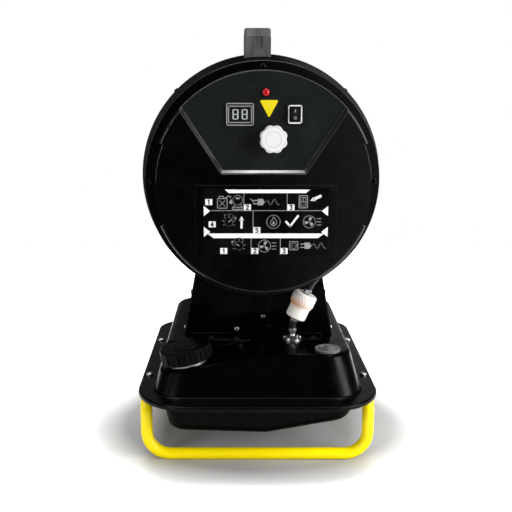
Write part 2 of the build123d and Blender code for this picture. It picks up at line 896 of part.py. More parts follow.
def filter_cap():
    body = Cylinder(filter_cap_r, filter_cap_len, align=(Align.CENTER, Align.CENTER, Align.MIN))
    body = fillet(body.edges().filter_by(GeomType.CIRCLE).sort_by(Axis.Z)[-1], 4)
    inside = Cylinder(filter_bowl_r - filter_wall, filter_cap_len - filter_wall,
                      align=(Align.CENTER, Align.CENTER, Align.MIN))
    barb = Cylinder(barb_r, filter_cap_len + barb_len, align=(Align.CENTER, Align.CENTER, Align.MIN))
    shape = body + barb - inside - Cylinder(1.8, 80)
    return filter_plane * Pos(0, 0, filter_bowl_len) * shape


def filter_element():
    points = []
    for i in range(filter_pleats * 2):
        radius = filter_element_r if i % 2 == 0 else filter_element_r * 0.8
        turn = i * 180 / filter_pleats
        points.append((radius * cos_deg(turn), radius * sin_deg(turn)))
    paper = make_face(Polyline(*points, close=True)) - Circle(4)
    length = filter_len - 2 * filter_wall
    return filter_plane * Pos(0, 0, filter_wall) * extrude(paper, length)


# Drum profiles, as (radius, y)

def drum_outer_points(grow=0):
    """The outside of the drum from the rear flange to its front rim."""
    return [
        (drum_rear_r + grow, drum_rear_y),
        (drum_front_r + grow, drum_flare_y),
        (drum_front_r + grow, drum_front_y),
    ]


def drum_plug(grow):
    """A solid drum, grown by a gap, that trims what lies against the head."""
    (r0, y0), (r1, y1), (r2, y2) = drum_outer_points(grow)
    return turned([(0, y0 - 40), (r0 - 6, y0 - 40), (r0, y0), (r1, y1), (r2, y2), (0, y2)])


rear_shell_r = drum_front_r - drum_sheet - seat_gap
flare = (drum_front_r - drum_rear_r) / (drum_flare_y - drum_rear_y)
lap_front_y = drum_joint_y + drum_joint_lap


def drum_rear_shell():
    t = drum_sheet
    step_y = drum_flare_y - (drum_front_r - rear_shell_r) / flare
    shell = turned([
        (drum_flange_r, drum_rear_y),
        (drum_rear_r, drum_rear_y),
        (rear_shell_r, step_y),
        (rear_shell_r, lap_front_y),
        (rear_shell_r - t, lap_front_y),
        (rear_shell_r - t, step_y),
        (drum_rear_r - t, drum_rear_y + t),
        (drum_flange_r, drum_rear_y + t),
    ])
    for cutter in radial_holes(screw_r + hole_gap, drum_screw_y, drum_screw_angles()):
        shell -= cutter
    for cutter in radial_holes(screw_r + hole_gap, handle_screw_y[0], [90 + handle_turn]):
        shell -= cutter
    for x, z in cover_screw_places():
        shell -= head_rod(screw_r + hole_gap, x, z, drum_rear_y - 5, drum_rear_y + 5)
    return shell - bent_rod(upper_hose_points(), hose_r + hose_clear)


drum_screw_y = drum_joint_y + drum_joint_lap / 2
handle_screw_y = (handle_rear_y + handle_leg_t / 2, handle_front_y - handle_leg_t / 2)
handle_turn = math.degrees(math.atan(-handle_x / drum_front_r))


def drum_screw_angles():
    return [drum_screw_angle + 90 * i for i in range(4)]


def radial_holes(radius, y, angles):
    holes = []
    for angle in angles:
        ends = []
        for reach in (drum_front_r - 40, drum_front_r + 30):
            ends.append((reach * cos_deg(angle), y, head_axis_z + reach * sin_deg(angle)))
        holes.append(rod(radius, *ends))
    return holes


def drum_front_shell():
    t = drum_sheet
    shell = turned(
        [
            (drum_front_r - t, drum_joint_y),
            (drum_front_r, drum_joint_y),
            (drum_front_r, drum_front_y),
            (drum_front_r - drum_lip_w, drum_front_y),
            (drum_front_r - drum_lip_w, drum_front_y - t),
            (drum_front_r - t, drum_front_y - t),
        ],
        rounds=[(2, 2.5), (5, 1.3)],
    )
    for cutter in radial_holes(screw_r + hole_gap, drum_screw_y, drum_screw_angles()):
        shell -= cutter
    for cutter in radial_holes(screw_r + hole_gap, handle_screw_y[1], [90 + handle_turn]):
        shell -= cutter
    for angle, y in saddle_screw_places():
        shell -= radial_holes(screw_r + hole_gap, y, [angle])[0]
    for x, z in guard_clip_places():
        shell -= head_rod(screw_r + hole_gap, x, z, drum_front_y - 5, drum_front_y + 5)
    return shell


def radial_screw(radius, y, angle, length, inward=True):
    """A pan head screw that lies along a radius of the drum, with its head at that radius."""
    x, z = radius * cos_deg(angle), radius * sin_deg(angle)
    out = Vector(cos_deg(angle), 0, sin_deg(angle)) * (1 if inward else -1)
    seat = Plane(origin=(x, y, head_axis_z + z), x_dir=(0, 1, 0), z_dir=out)
    return seat * pan_head(screw_head_r, screw_head_h, screw_r, length)


# Rear cover

panel_face_y = cover_face_y + panel_sink
panel_back_y = panel_face_y + cover_t
cover_back_y = cover_face_y + cover_t


def cover_body(face_y, inset):
    """The cover's raised disc as a solid, without its flange."""
    return turned(
        [
            (0, face_y),
            (cover_r - inset, face_y),
            (cover_wall_r - inset, drum_rear_y),
            (0, drum_rear_y),
        ],
        rounds=[(1, cover_edge_r)],
    )


def panel_prism(grow):
    """The sunk sector of the panel, with walls that slope at 45 degrees."""
    side = (panel_half_head - panel_half_foot) / (panel_head_z - panel_foot_z)
    far_z = cover_r + 40
    far_x = panel_half_foot + (far_z - panel_foot_z) * side
    sections = []
    for depth in (-2, panel_sink + grow):
        pull = depth - grow
        slant = pull * math.hypot(1, side)
        foot_z = panel_foot_z + pull
        foot_x = panel_half_foot - slant + pull * side
        points = [(-foot_x, foot_z), (foot_x, foot_z), (far_x - slant, far_z), (-far_x + slant, far_z)]
        wall = Plane(
            origin=(0, cover_face_y + depth, head_axis_z), x_dir=(1, 0, 0), z_dir=(0, -1, 0)
        )
        sections.append(wall * make_face(Polyline(*points, close=True)))
    return loft(sections, ruled=True)


def notch_cutters(inset):
    """The bites in the cover's side wall at its two flanks."""
    inner, far = cover_r - notch_depth - inset, cover_r + 20
    spread = notch_half_angle + math.degrees(inset / cover_r)
    cutters = []
    for side in (0, 180):
        sector = [(0, 0)]
        for turn in (-spread, 0, spread):
            reach = far * 1.1 / cos_deg(spread / 2)
            sector.append((reach * cos_deg(turn + side), reach * sin_deg(turn + side)))
        y = drum_rear_y - cover_t + inset
        plane = Plane(origin=(0, y, head_axis_z), x_dir=(1, 0, 0), z_dir=(0, -1, 0))
        wedge = make_face(Polyline(*sector, close=True)) - Circle(inner)
        cutters.append(plane * extrude(wedge, 100))
    return cutters


def cover_screw_places():
    reach = cover_screw_r
    return [(0, reach), (0, -reach), (reach, 0), (-reach, 0)]


def rear_cover():
    outer = cover_body(cover_face_y, 0)
    outer -= panel_prism(0) - cover_body(panel_face_y, 0)
    inner = cover_body(cover_back_y, cover_t)
    inner -= panel_prism(cover_t) - cover_body(panel_back_y, cover_t)
    for cutter in notch_cutters(0):
        outer -= cutter
    for cutter in notch_cutters(cover_t):
        inner -= cutter
    y = drum_rear_y - seat_gap
    flange = turned([(0, y - cover_t), (cover_flange_r, y - cover_t), (cover_flange_r, y), (0, y)],
                    rounds=[(1, 0.8)])
    cover = outer & block(-600, 600, -600, y, 0, 900)
    cover = cover + flange - (inner & block(-600, 600, -600, y + 1, 0, 900))
    cover += head_block((label_x, label_z), label_pad_w, label_pad_tall,
                        cover_face_y - label_pad_h, cover_face_y)
    for x, z in board_post_places():
        cover += head_rod(board_post_r, x, z, panel_back_y - 0.5, board_y)
    for x, z in cover_screw_places():
        cover -= head_rod(screw_r + hole_gap, x, z, y - 10, y + 10)
    y0, y1 = panel_face_y - 5, panel_back_y + 5
    cover -= head_block(display_at, display_w - 6, display_tall - 6, y0, y1)
    cover -= head_block(switch_at, switch_w - 4, switch_tall - 4, y0, y1)
    cover -= head_rod(lamp_r - 1.5 + hole_gap, lamp_at[0], lamp_at[1], y0, y1)
    cover -= head_rod(pot_bush_r + hole_gap, knob_at[0], knob_at[1], y0, y1)
    for i in range(vent_slots):
        angle = (i - (vent_slots - 1) / 2) * vent_pitch_angle
        for side in (0, 180):
            cover -= vent_slot(angle + side)
    return cover


vent_slots = 5
vent_pitch_angle = 7
vent_slot_w = 5
vent_slot_len = 34


def vent_slot(angle):
    """One air slot through the sunk side wall."""
    y = (cover_face_y + drum_rear_y) / 2
    slot = Pos(cover_r - notch_depth, 0, 0) * Box(16, vent_slot_len, vent_slot_w)
    return Pos(0, y, head_axis_z) * Rot(0, -angle, 0) * slot


def label_plate():
    y = cover_face_y - label_pad_h
    return head_block((label_x, label_z), label_w, label_tall, y - label_t, y)


# Controls

def display_module():
    y = panel_face_y - display_proud
    back_y = panel_face_y + display_depth
    body = head_block(display_at, display_w, display_tall, y, panel_face_y)
    body = fillet(body.edges().filter_by(Axis.Y), 1.5)
    w, tall = display_window
    body += head_block(display_at, display_w - 7, display_tall - 7, panel_face_y, back_y)
    return body - head_block(display_at, w, tall, y - 1, y + 0.6)


def indicator_lamp():
    x, z = lamp_at
    lens_y = panel_face_y - lamp_collar_h - lamp_lens_h
    collar = head_rod(lamp_r + 1.2, x, z, panel_face_y - lamp_collar_h, panel_face_y)
    lens = head_rod(lamp_r, x, z, lens_y, panel_face_y - lamp_collar_h)
    lens = fillet(lens.edges().filter_by(GeomType.CIRCLE).sort_by(Axis.Y)[0], lamp_lens_h * 0.8)
    stem = head_rod(lamp_r - 1.5, x, z, panel_face_y, panel_face_y + lamp_depth)
    return collar + lens + stem


def index_mark():
    """A plain triangle over the knob that points at its scale."""
    x, z = mark_at
    half, tall = mark_side / 2, mark_side * 0.92
    plane = Plane(origin=(x, panel_face_y, head_axis_z + z), x_dir=(1, 0, 0), z_dir=(0, -1, 0))
    points = [(-half, tall / 2), (half, tall / 2), (0, -tall / 2)]
    face = make_face(Polyline(*points, close=True))
    face = fillet(face.vertices(), 1.5)
    return plane * extrude(face, mark_t)


switch_front_y = panel_face_y - switch_proud
rocker_gap = 0.4
rocker_pivot_y = panel_face_y + 4


def switch_body():
    x, z = switch_at
    bezel = head_block(switch_at, switch_w, switch_tall, switch_front_y, panel_face_y)
    bezel = fillet(bezel.edges().filter_by(Axis.Y), 2)
    back_y = panel_face_y + switch_depth
    body = bezel + head_block(switch_at, switch_w - 5, switch_tall - 5, panel_face_y, back_y)
    well_w = rocker_w + 2 * rocker_gap
    well_tall = rocker_tall + 2 * rocker_gap
    body -= head_block(switch_at, well_w, well_tall, switch_front_y - 1, panel_face_y + 13)
    pin = rocker_pin_r + running_gap
    half = rocker_w / 2 + 2
    zz = head_axis_z + z
    body -= rod(pin, (x - half, rocker_pivot_y, zz), (x + half, rocker_pivot_y, zz))
    return body


def switch_rocker():
    """The rocker, at rest with its upper end pressed in."""
    x, z = switch_at
    zz = head_axis_z + z
    half_tall = rocker_tall / 2
    proud = 3.2
    points = [
        (-half_tall + 1.2, rocker_pivot_y - panel_face_y + 4),
        (-half_tall, -proud * 0.2),
        (-half_tall * 0.96, -proud - 1.2),
        (0, -proud + 0.6),
        (half_tall * 0.96, -proud - 1.2),
        (half_tall, -proud * 0.2),
        (half_tall - 1.2, rocker_pivot_y - panel_face_y + 4),
    ]
    plane = Plane(origin=(x - rocker_w / 2, panel_face_y, zz), x_dir=(0, 0, 1), z_dir=(1, 0, 0))
    face = make_face(Polyline(*points, close=True))
    solid = plane * extrude(face, rocker_w)
    half_pin = rocker_w / 2 + 1.5
    ends = (x - half_pin, rocker_pivot_y, zz), (x + half_pin, rocker_pivot_y, zz)
    solid += rod(rocker_pin_r, *ends)
    pivot = Axis((x, rocker_pivot_y, zz), (1, 0, 0))
    return solid.rotate(pivot, rocker_rest)


rocker_rest = -rocker_swing / 2
pot_bush_r = 4.5
pot_bush_len = 6


def thermostat():
    x, z = knob_at
    body = head_rod(pot_r, x, z, panel_back_y, panel_back_y + pot_depth)
    bush = head_rod(pot_bush_r, x, z, panel_back_y - pot_bush_len, panel_back_y)
    nut_y = panel_face_y
    nut = Plane(origin=(x, nut_y, head_axis_z + z), x_dir=(1, 0, 0), z_dir=(0, -1, 0)) * extrude(
        RegularPolygon(7, 6), 1.4
    )
    bore = head_rod(pot_shaft_r + running_gap, x, z, panel_face_y - 20, panel_back_y + pot_depth - 2)
    return body + bush + nut - bore


knob_rear_y = panel_face_y - pot_bush_len + cover_t - knob_foot_gap
knob_face_y = knob_rear_y - knob_h


def knob_shaft():
    x, z = knob_at
    return head_rod(pot_shaft_r, x, z, knob_face_y + 4, panel_back_y + pot_depth - 2.5)


def control_knob():
    x, z = knob_at
    plane = Plane(origin=(x, knob_rear_y, head_axis_z + z), x_dir=(1, 0, 0), z_dir=(0, -1, 0))
    body = Circle(knob_r - knob_lobe_depth)
    lobe = Pos(knob_r - knob_lobe_r, 0) * Circle(knob_lobe_r)
    for i in range(knob_lobes):
        body += Rot(0, 0, 360 / knob_lobes * (i + 0.5)) * lobe
    solid = extrude(body, knob_h)
    top = solid.faces().sort_by(Axis.Z)[-1]
    solid = fillet(top.edges(), 1.8)
    solid -= extrude(Circle(pot_shaft_r), knob_h - 4)
    return plane * solid


# Control board

def board_post_places():
    x, z = board_w / 2 - 12, board_tall / 2 - 8
    return [(sx * x + 2, board_z + sz * z) for sx in (-1, 1) for sz in (-1, 1)]


def control_board():
    board = head_block((2, board_z), board_w, board_tall, board_y, board_y + board_t)
    back = board_y + board_t
    board += head_block((-60, board_z), 22, 26, back, back + 16)
    board += head_block((-30, board_z + 4), 18, 30, back, back + 14)
    board += head_block((62, board_z - 6), 34, 30, back, back + 20)
    board += head_rod(6, 30, board_z + 18, back, back + 18)
    return board


# Burner

bulkhead_r = drum_rear_r + (bulkhead_y - drum_rear_y) * flare - 1.1 * drum_sheet - seat_gap
bulkhead_front_y = bulkhead_y + bulkhead_t


def burner_bulkhead():
    """A dished wall across the head, with the air tube welded to its middle."""
    rim = 10
    inner = air_tube_r - air_tube_t
    disc = turned([
        (inner, bulkhead_y),
        (bulkhead_r, bulkhead_y),
        (bulkhead_r + rim * flare, bulkhead_y + rim),
        (bulkhead_r + rim * flare - bulkhead_t, bulkhead_y + rim),
        (bulkhead_r - bulkhead_t, bulkhead_front_y),
        (air_tube_r, bulkhead_front_y),
        (air_tube_r, air_tube_front_y),
        (inner, air_tube_front_y),
    ])
    for start, end in (fuel_pipe_points()[1:3], fuel_pipe_points()[2:4]):
        disc -= rod(fuel_pipe_r + 1, start, end)
    x, z = sensor_place()
    disc -= head_rod(sensor_r - 1 + hole_gap, x, z, bulkhead_y - 5, bulkhead_front_y + 5)
    return disc


def sensor_place():
    return -(air_tube_r + 24), 0


def flame_sensor():
    x, z = sensor_place()
    body = head_rod(sensor_r, x, z, bulkhead_y - sensor_len, bulkhead_y)
    return body + head_rod(sensor_r - 1, x, z, bulkhead_y, bulkhead_front_y + 6)


def motor_bracket():
    """A plate with three arms on posts that carries the motor behind the bulkhead."""
    plate = head_rod(motor_r + 4, 0, 0, motor_front_y, motor_front_y + motor_plate_t)
    for i in range(3):
        turn = 90 + 120 * i
        arm = Pos(motor_arm_r / 2, motor_front_y + motor_plate_t / 2, 0) * Box(
            motor_arm_r + 2 * motor_post_r, motor_plate_t, 2 * motor_post_r
        )
        plate += Pos(0, 0, head_axis_z) * Rot(0, -turn, 0) * arm
        x, z = motor_arm_r * cos_deg(turn), motor_arm_r * sin_deg(turn)
        plate += head_rod(motor_post_r, x, z, motor_front_y, bulkhead_y)
    boss = head_rod(12, 0, 0, motor_front_y - 1, motor_front_y + motor_plate_t + 1)
    return plate - boss


def fan_motor():
    rear_y = motor_front_y - motor_len
    body = head_rod(motor_r, 0, 0, rear_y, motor_front_y)
    body = fillet(body.edges().filter_by(GeomType.CIRCLE).sort_by(Axis.Y)[0], 6)
    body += head_rod(11.5, 0, 0, motor_front_y, motor_front_y + 6)
    return body - head_rod(shaft_r + running_gap, 0, 0, rear_y - 20, motor_front_y + 20)


def fan_shaft():
    return head_rod(shaft_r, 0, 0, shaft_rear_y, shaft_front_y)


def fan_wheel():
    rear_y = shaft_front_y - fan_len
    hub = head_rod(fan_hub_r, 0, 0, rear_y, shaft_front_y)
    blade_len = fan_r - fan_hub_r + 2
    for i in range(fan_blades):
        blade = Pos(fan_hub_r - 2 + blade_len / 2, 0, 0) * Rot(35, 0, 0) * Box(
            blade_len, fan_len * 0.9, fan_blade_t
        )
        hub += Pos(0, rear_y + fan_len / 2, head_axis_z) * Rot(0, i * 360 / fan_blades, 0) * blade
    return hub - head_rod(shaft_r, 0, 0, rear_y - 5, shaft_front_y + 5)


def nozzle_holder():
    """The atomising nozzle on a three-armed spider inside the air tube."""
    body = head_rod(nozzle_r, 0, 0, nozzle_rear_y, nozzle_front_y - 6)
    body += head_rod(nozzle_r - 2.5, 0, 0, nozzle_front_y - 6, nozzle_front_y)
    inner = air_tube_r - air_tube_t
    for turn in (90 - electrode_turn, 90 + electrode_turn, 270):
        arm = Pos(inner / 2, nozzle_arm_y, 0) * Box(inner, 5, 6)
        body += Pos(0, 0, head_axis_z) * Rot(0, -turn, 0) * arm
    body &= head_rod(inner - 0.05, 0, 0, nozzle_rear_y - 1, nozzle_front_y + 1)
    for x, z in electrode_places():
        body += head_rod(electrode_r + 2, x, z, nozzle_arm_y - 4, nozzle_arm_y + 4)
        body -= head_rod(electrode_r + running_gap, x, z, nozzle_arm_y - 10, nozzle_arm_y + 10)
    start, end = fuel_pipe_points()[2:4]
    return body - rod(fuel_pipe_r + running_gap, start, end)


def electrode_places():
    turns = (90 - electrode_turn, 90 + electrode_turn)
    return [(electrode_reach * cos_deg(a), electrode_reach * sin_deg(a)) for a in turns]


def ignition_electrodes():
    solids = []
    for x, z in electrode_places():
        rear, front = nozzle_arm_y - 12, nozzle_front_y
        ceramic = head_rod(electrode_r, x, z, rear, front)
        high = head_axis_z + z
        wire = rod(0.9, (x, front - 2, high), (x, front + 2, high))
        wire += rod(0.9, (x, front + 2, high), (x * 0.2, front + 7, head_axis_z + 6))
        solids.append(ceramic + wire)
    return group(solids)


def combustion_chamber():
    """A steel can that opens forward into the radiant head."""
    t = chamber_t
    can = turned([
        (air_tube_r + seat_gap, chamber_rear_y),
        (chamber_r, chamber_rear_y),
        (chamber_r, chamber_front_y),
        (chamber_r - t, chamber_front_y),
        (chamber_r - t, chamber_rear_y + t),
        (air_tube_r + seat_gap, chamber_rear_y + t),
    ])
    port = Pos(chamber_r, 0, 0) * Box(10, 14, 8)
    y = chamber_front_y - 20
    for i in range(16):
        can -= Pos(0, y, head_axis_z) * Rot(0, i * 22.5, 0) * port
    return can


def radiant_head():
    """The perforated disc that glows, dished over the mouth of the can."""
    y = chamber_front_y
    t = radiant_t
    disc = turned([
        (0, y + 8),
        (chamber_r * 0.6, y + 8),
        (radiant_r, y),
        (radiant_r, y + t),
        (chamber_r * 0.6, y + 8 + t),
        (0, y + 8 + t),
    ])
    skirt = turned([
        (chamber_r - chamber_t - 1.8, y - 4),
        (chamber_r - chamber_t - hole_gap, y - 4),
        (chamber_r - chamber_t - hole_gap, y + 5),
        (chamber_r - chamber_t - 1.8, y + 5),
    ])
    disc += skirt
    for count, radius in ((1, 0), (8, 16), (14, 30)):
        for i in range(count):
            turn = i * 360 / count
            x, z = radius * cos_deg(turn), radius * sin_deg(turn)
            disc -= head_rod(radiant_hole_r, x, z, y, y + 20)
    return disc


def reflector():
    """A polished dish between the drum's front lip and the combustion chamber."""
    rim_in = drum_front_r - drum_lip_w
    rim_y = drum_front_y - drum_sheet - seat_gap
    t = reflector_t
    rim_out = rim_in + 1.5

    def bowl(y_shift):
        start = (rim_in, rim_y + y_shift)
        middle = (rim_in * 0.72, reflector_depth_y + 17 + y_shift)
        end = (chamber_r + seat_gap, reflector_depth_y + y_shift)
        return start, middle, end

    back, face = bowl(-t), bowl(0)
    lines = [
        Line((rim_out, rim_y), face[0]),
        ThreePointArc(*face),
        Line(face[2], back[2]),
        ThreePointArc(*reversed(back)),
        Line(back[0], (rim_out, rim_y - t)),
        Line((rim_out, rim_y - t), (rim_out, rim_y)),
    ]
    profile = make_face(Wire(lines))
    return revolve(Pos(0, 0, head_axis_z) * profile, drum_axis, 360)


def ignition_transformer():
    w, deep, tall = transformer_size
    body = head_block(transformer_at, w, tall, bulkhead_y - deep, bulkhead_y)
    body = fillet(body.edges().filter_by(Axis.Y), 4)
    x, z = transformer_at
    for dx in (-12, 12):
        body += head_rod(5, x + dx, z, bulkhead_y - deep - 10, bulkhead_y - deep)
    return body


def fuel_pump():
    """A solenoid pump that stands upright, on a bracket from the bulkhead."""
    low, high = head_axis_z + pump_z[0], head_axis_z + pump_z[1]
    body = rod(pump_r, (pump_x, line_y, low + 8), (pump_x, line_y, high - 8))
    body = fillet(body.edges().filter_by(GeomType.CIRCLE), 2)
    body += rod(8, (pump_x, line_y, low), (pump_x, line_y, high))
    body += rod(barb_r, (pump_x, line_y, low - barb_len), (pump_x, line_y, low))
    half = pump_bracket_w / 2
    body += block(pump_x - half, pump_x + half, line_y, bulkhead_y, low + 18, high - 18)
    return body - rod(1.5, (pump_x, line_y, low - 20), (pump_x, line_y, high + 20))


def fuel_pipe_points():
    """Up from the pump, forward through the bulkhead and in to the nozzle from one side."""
    top = head_axis_z + pump_z[1]
    lift = top + 16
    x, z = pump_x, lift - head_axis_z
    reach = (nozzle_r - 3) / math.hypot(x, z)
    return [
        (x, line_y, top),
        (x, line_y, lift),
        (x, nozzle_arm_y, lift),
        (x * reach, nozzle_arm_y, head_axis_z + z * reach),
    ]


def fuel_pipe():
    route = FilletPolyline(*fuel_pipe_points(), radius=[10, 16])
    start = Plane(origin=route @ 0, z_dir=route % 0)
    return sweep(start * (Circle(fuel_pipe_r) - Circle(fuel_pipe_r - 1)), path=route)


# Tower

def tower_trapezoid(inset):
    """The tower's outline seen from the rear."""
    low_z, high_z = tank_top_z - 10, tower_top_z
    base_z = tank_top_z
    points = []
    for z, side in ((low_z, -1), (low_z, 1), (high_z, 1), (high_z, -1)):
        half = tower_half_w - inset - (z - base_z) * tan_deg(tower_draft)
        points.append((side * half, z))
    plane = Plane(origin=(tower_x, 0, 0), x_dir=(1, 0, 0), z_dir=(0, -1, 0))
    return plane * make_face(Polyline(*points, close=True))


def tower_solid(inset, rear_y, front_y):
    """The tower's space between the tank's top and the drum."""
    solid = extrude(tower_trapezoid(inset), -(front_y - rear_y))
    solid = Pos(0, rear_y, 0) * solid
    return solid - drum_plug(seat_gap) - block(-600, 600, -600, 600, 0, tank_top_z)


def tower_foot_places():
    y = tower_rear_y - tower_foot_len * 0.72
    places = [(tower_x + (x0 + x1) / 2, y) for x0, x1 in tower_rear_feet]
    y = tower_front_y + tower_foot_len * 0.6
    return places + [(tower_x + x, y) for x in tower_front_screws]


def tower_foot(x0, x1, y0, y1):
    """A foot flange that lies on the tank's top face."""
    return block(tower_x + x0, tower_x + x1, y0, y1, tank_top_z, tank_top_z + tower_sheet)


def tower_front_panel():
    """Front wall and both side walls, bent from one sheet."""
    outer = tower_solid(0, tower_rear_y, tower_front_y)
    inner = tower_solid(tower_sheet, tower_rear_y - 5, tower_front_y - tower_sheet)
    panel = outer - inner
    foot = tower_foot(*tower_front_foot, tower_front_y - 1, tower_front_y + tower_foot_len)
    panel += foot
    for x, y in tower_foot_places():
        panel -= tank_top(x, y) * Cylinder(screw_r + hole_gap, 12)
    y0, y1 = tower_front_y - 20, tower_front_y + 20
    panel -= rod(gland_thread_r + hole_gap, (gland_x, y0, gland_z), (gland_x, y1, gland_z))
    for seat in tower_side_seats():
        panel -= seat * Cylinder(screw_r + hole_gap, 20)
    return panel


def tower_rear_panel():
    """The rear wall, with flanges turned forward inside the side walls and two feet."""
    inset = tower_sheet + seat_gap
    outer = tower_solid(inset, tower_rear_y, tower_rear_y + tower_flange)
    y = tower_rear_y + tower_sheet
    inner = tower_solid(inset + tower_sheet, y, y + tower_flange + 5)
    panel = outer - inner
    y0 = tower_rear_y - tower_foot_len
    for x0, x1 in tower_rear_feet:
        panel += tower_foot(x0, x1, y0, tower_rear_y + 1)
    for x, y in tower_foot_places():
        panel -= tank_top(x, y) * Cylinder(screw_r + hole_gap, 12)
    for x, z in tower_rear_screw_places():
        panel -= rod(screw_r + hole_gap, (x, tower_rear_y - 5, z), (x, tower_rear_y + 5, z))
    for seat in tower_side_seats():
        panel -= seat * Cylinder(screw_r + hole_gap, 20)
    low, high = tank_top_z + tower_rib_z[0], tank_top_z + tower_rib_z[1]
    half, t = tower_rib_w / 2, tower_sheet
    rib = block(tower_rib_x - half, tower_rib_x + half, tower_rear_y - t, tower_rear_y, low, high)
    tip = Plane(origin=(tower_rib_x, tower_rear_y, high), x_dir=(1, 0, 0), z_dir=(0, -1, 0))
    peak = tip * extrude(outline([(-half, 0), (half, 0), (0, 8)]), t)
    foot = tip * Pos(0, low - high - 10) * extrude(outline([(-7, 0), (7, 0), (0, 7)]), t)
    return panel + rib + peak + foot


tower_rib_x = 16
tower_rib_w = 6
tower_rib_z = (21, 69)
tower_side_rises = (10, 75)


def tower_rear_screw_places():
    base = tank_top_z
    return [(tower_x - 38.8, base + 9), (tower_x + 8.7, base + 32)]


def tower_side_seats():
    """Seats of the screws through each side wall into the rear panel's flange."""
    seats = []
    for side in (-1, 1):
        out = (side * cos_deg(tower_draft), 0, sin_deg(tower_draft))
        for rise in tower_side_rises:
            x = tower_x + side * (tower_half_w - rise * tan_deg(tower_draft))
            point = (x, tower_rear_y + tower_flange / 2, tank_top_z + rise)
            seats.append(Plane(origin=point, x_dir=(0, 1, 0), z_dir=out))
    return seats


def head_saddle():
    """A curved plate on the tower's top that the drum lies in."""
    inset = tower_sheet + seat_gap
    y0, y1 = drum_flare_y + 4, tower_front_y - tower_sheet - seat_gap
    outside = drum_front_r + seat_gap + tower_sheet
    plate = turned([
        (drum_front_r + seat_gap, y0), (outside, y0), (outside, y1), (drum_front_r + seat_gap, y1)
    ])
    space = Pos(0, y0, 0) * extrude(tower_trapezoid(inset), -(y1 - y0))
    low = block(-600, 600, y0, y1, 0, tower_top_z)
    plate = plate & space & low
    for angle, y in saddle_screw_places():
        plate -= radial_holes(screw_r + hole_gap, y, [angle])[0]
    return plate


def saddle_screw_places():
    return [(270 + side * 18, y) for side in (-1, 1) for y in (0, 50)]


def cable_gland():
    y = tower_front_y
    flange = rod(gland_flange_r, (gland_x, y, gland_z), (gland_x, y + 4, gland_z))
    body = rod(gland_body_r, (gland_x, y, gland_z), (gland_x, y + gland_out, gland_z))
    thread = rod(gland_thread_r, (gland_x, y - gland_in, gland_z), (gland_x, y, gland_z))
    bore = rod(gland_bore_r, (gland_x, y - 30, gland_z), (gland_x, y + 40, gland_z))
    return flange + body + thread - bore


# Guard

def guard_y(radius):
    """How far forward the domed guard stands at a radius."""
    rim_y = drum_front_y + guard_wire_r + seat_gap
    return rim_y + guard_rise * (1 - (radius / guard_rim_r) ** 2)


def guard_rim():
    """The rim wire, in equal lengths that meet end to end."""
    turn = 360 / guard_rim_lengths
    at = Plane(origin=(guard_rim_r, guard_y(guard_rim_r), 0), x_dir=(1, 0, 0), z_dir=(0, 0, 1))
    length = revolve(at * Circle(guard_wire_r), Axis.Y, turn)
    starts = [turn * (i + 0.5) for i in range(guard_rim_lengths)]
    return [Pos(0, 0, head_axis_z) * Rot(0, start, 0) * length for start in starts]


def guard_bar(half, offset):
    """A bowed wire along Z, from its half length and its distance from the guard's middle."""
    end_y, crown_y = guard_y(math.hypot(half, offset)), guard_y(offset)
    path = ThreePointArc((0, end_y, -half), (0, crown_y, 0), (0, end_y, half))
    start = Plane(origin=path @ 0, z_dir=path % 0)
    return sweep(start * Circle(guard_wire_r), path=path)


def guard_bar_places():
    count = int((guard_rim_r - guard_wire_r) / guard_bar_pitch)
    return [guard_bar_pitch * i for i in range(-count, count + 1)]


def guard_grille():
    """Upright bars welded on a rim wire, with two cross bars welded on the uprights."""
    on_rim, on_bars = 2 * guard_wire_r, 4 * guard_wire_r
    wires = guard_rim()
    for x in guard_bar_places():
        half = math.sqrt(guard_rim_r ** 2 - x ** 2)
        wires.append(Pos(x, on_rim, head_axis_z) * guard_bar(half, x))
    half = guard_bar_places()[-1] + guard_wire_r
    for z in (-guard_cross_z, guard_cross_z):
        wires.append(Pos(0, on_bars, head_axis_z + z) * Rot(0, 90, 0) * guard_bar(half, z))
    return group(wires)


def guard_clip_turns():
    """Near 45 degrees in each quarter, midway between two bars."""
    bars_passed = int(guard_rim_r * cos_deg(45) / guard_bar_pitch)
    turn = math.degrees(math.acos((bars_passed + 0.5) * guard_bar_pitch / guard_rim_r))
    return [turn, 180 - turn, 180 + turn, 360 - turn]


def guard_clip_places():
    turns = guard_clip_turns()
    return [(guard_screw_r * cos_deg(a), guard_screw_r * sin_deg(a)) for a in turns]


guard_screw_r = drum_front_r - drum_lip_w / 2
guard_clip_y = guard_y(guard_rim_r) + guard_wire_r + seat_gap + guard_clip_t


def guard_clips():
    """Four clips on the drum's front lip that hook over the guard's rim wire."""
    inner, outer = guard_rim_r - 4, drum_front_r - 1.5
    room = guard_wire_r + seat_gap
    clip = Pos((inner + outer) / 2, (drum_front_y + guard_clip_y) / 2, 0) * Box(
        outer - inner, guard_clip_y - drum_front_y, guard_clip_w
    )
    y0, y1 = drum_front_y - 2, guard_y(guard_rim_r) + room
    slot = Pos(guard_rim_r, (y0 + y1) / 2, 0) * Box(2 * room, y1 - y0, 3 * guard_clip_w)
    y0, y1 = drum_front_y - 5, drum_front_y + 20
    hole = rod(screw_r + hole_gap, (guard_screw_r, y0, 0), (guard_screw_r, y1, 0))
    turns = guard_clip_turns()
    return group([Pos(0, 0, head_axis_z) * Rot(0, -turn, 0) * (clip - slot - hole) for turn in turns])


# Handle

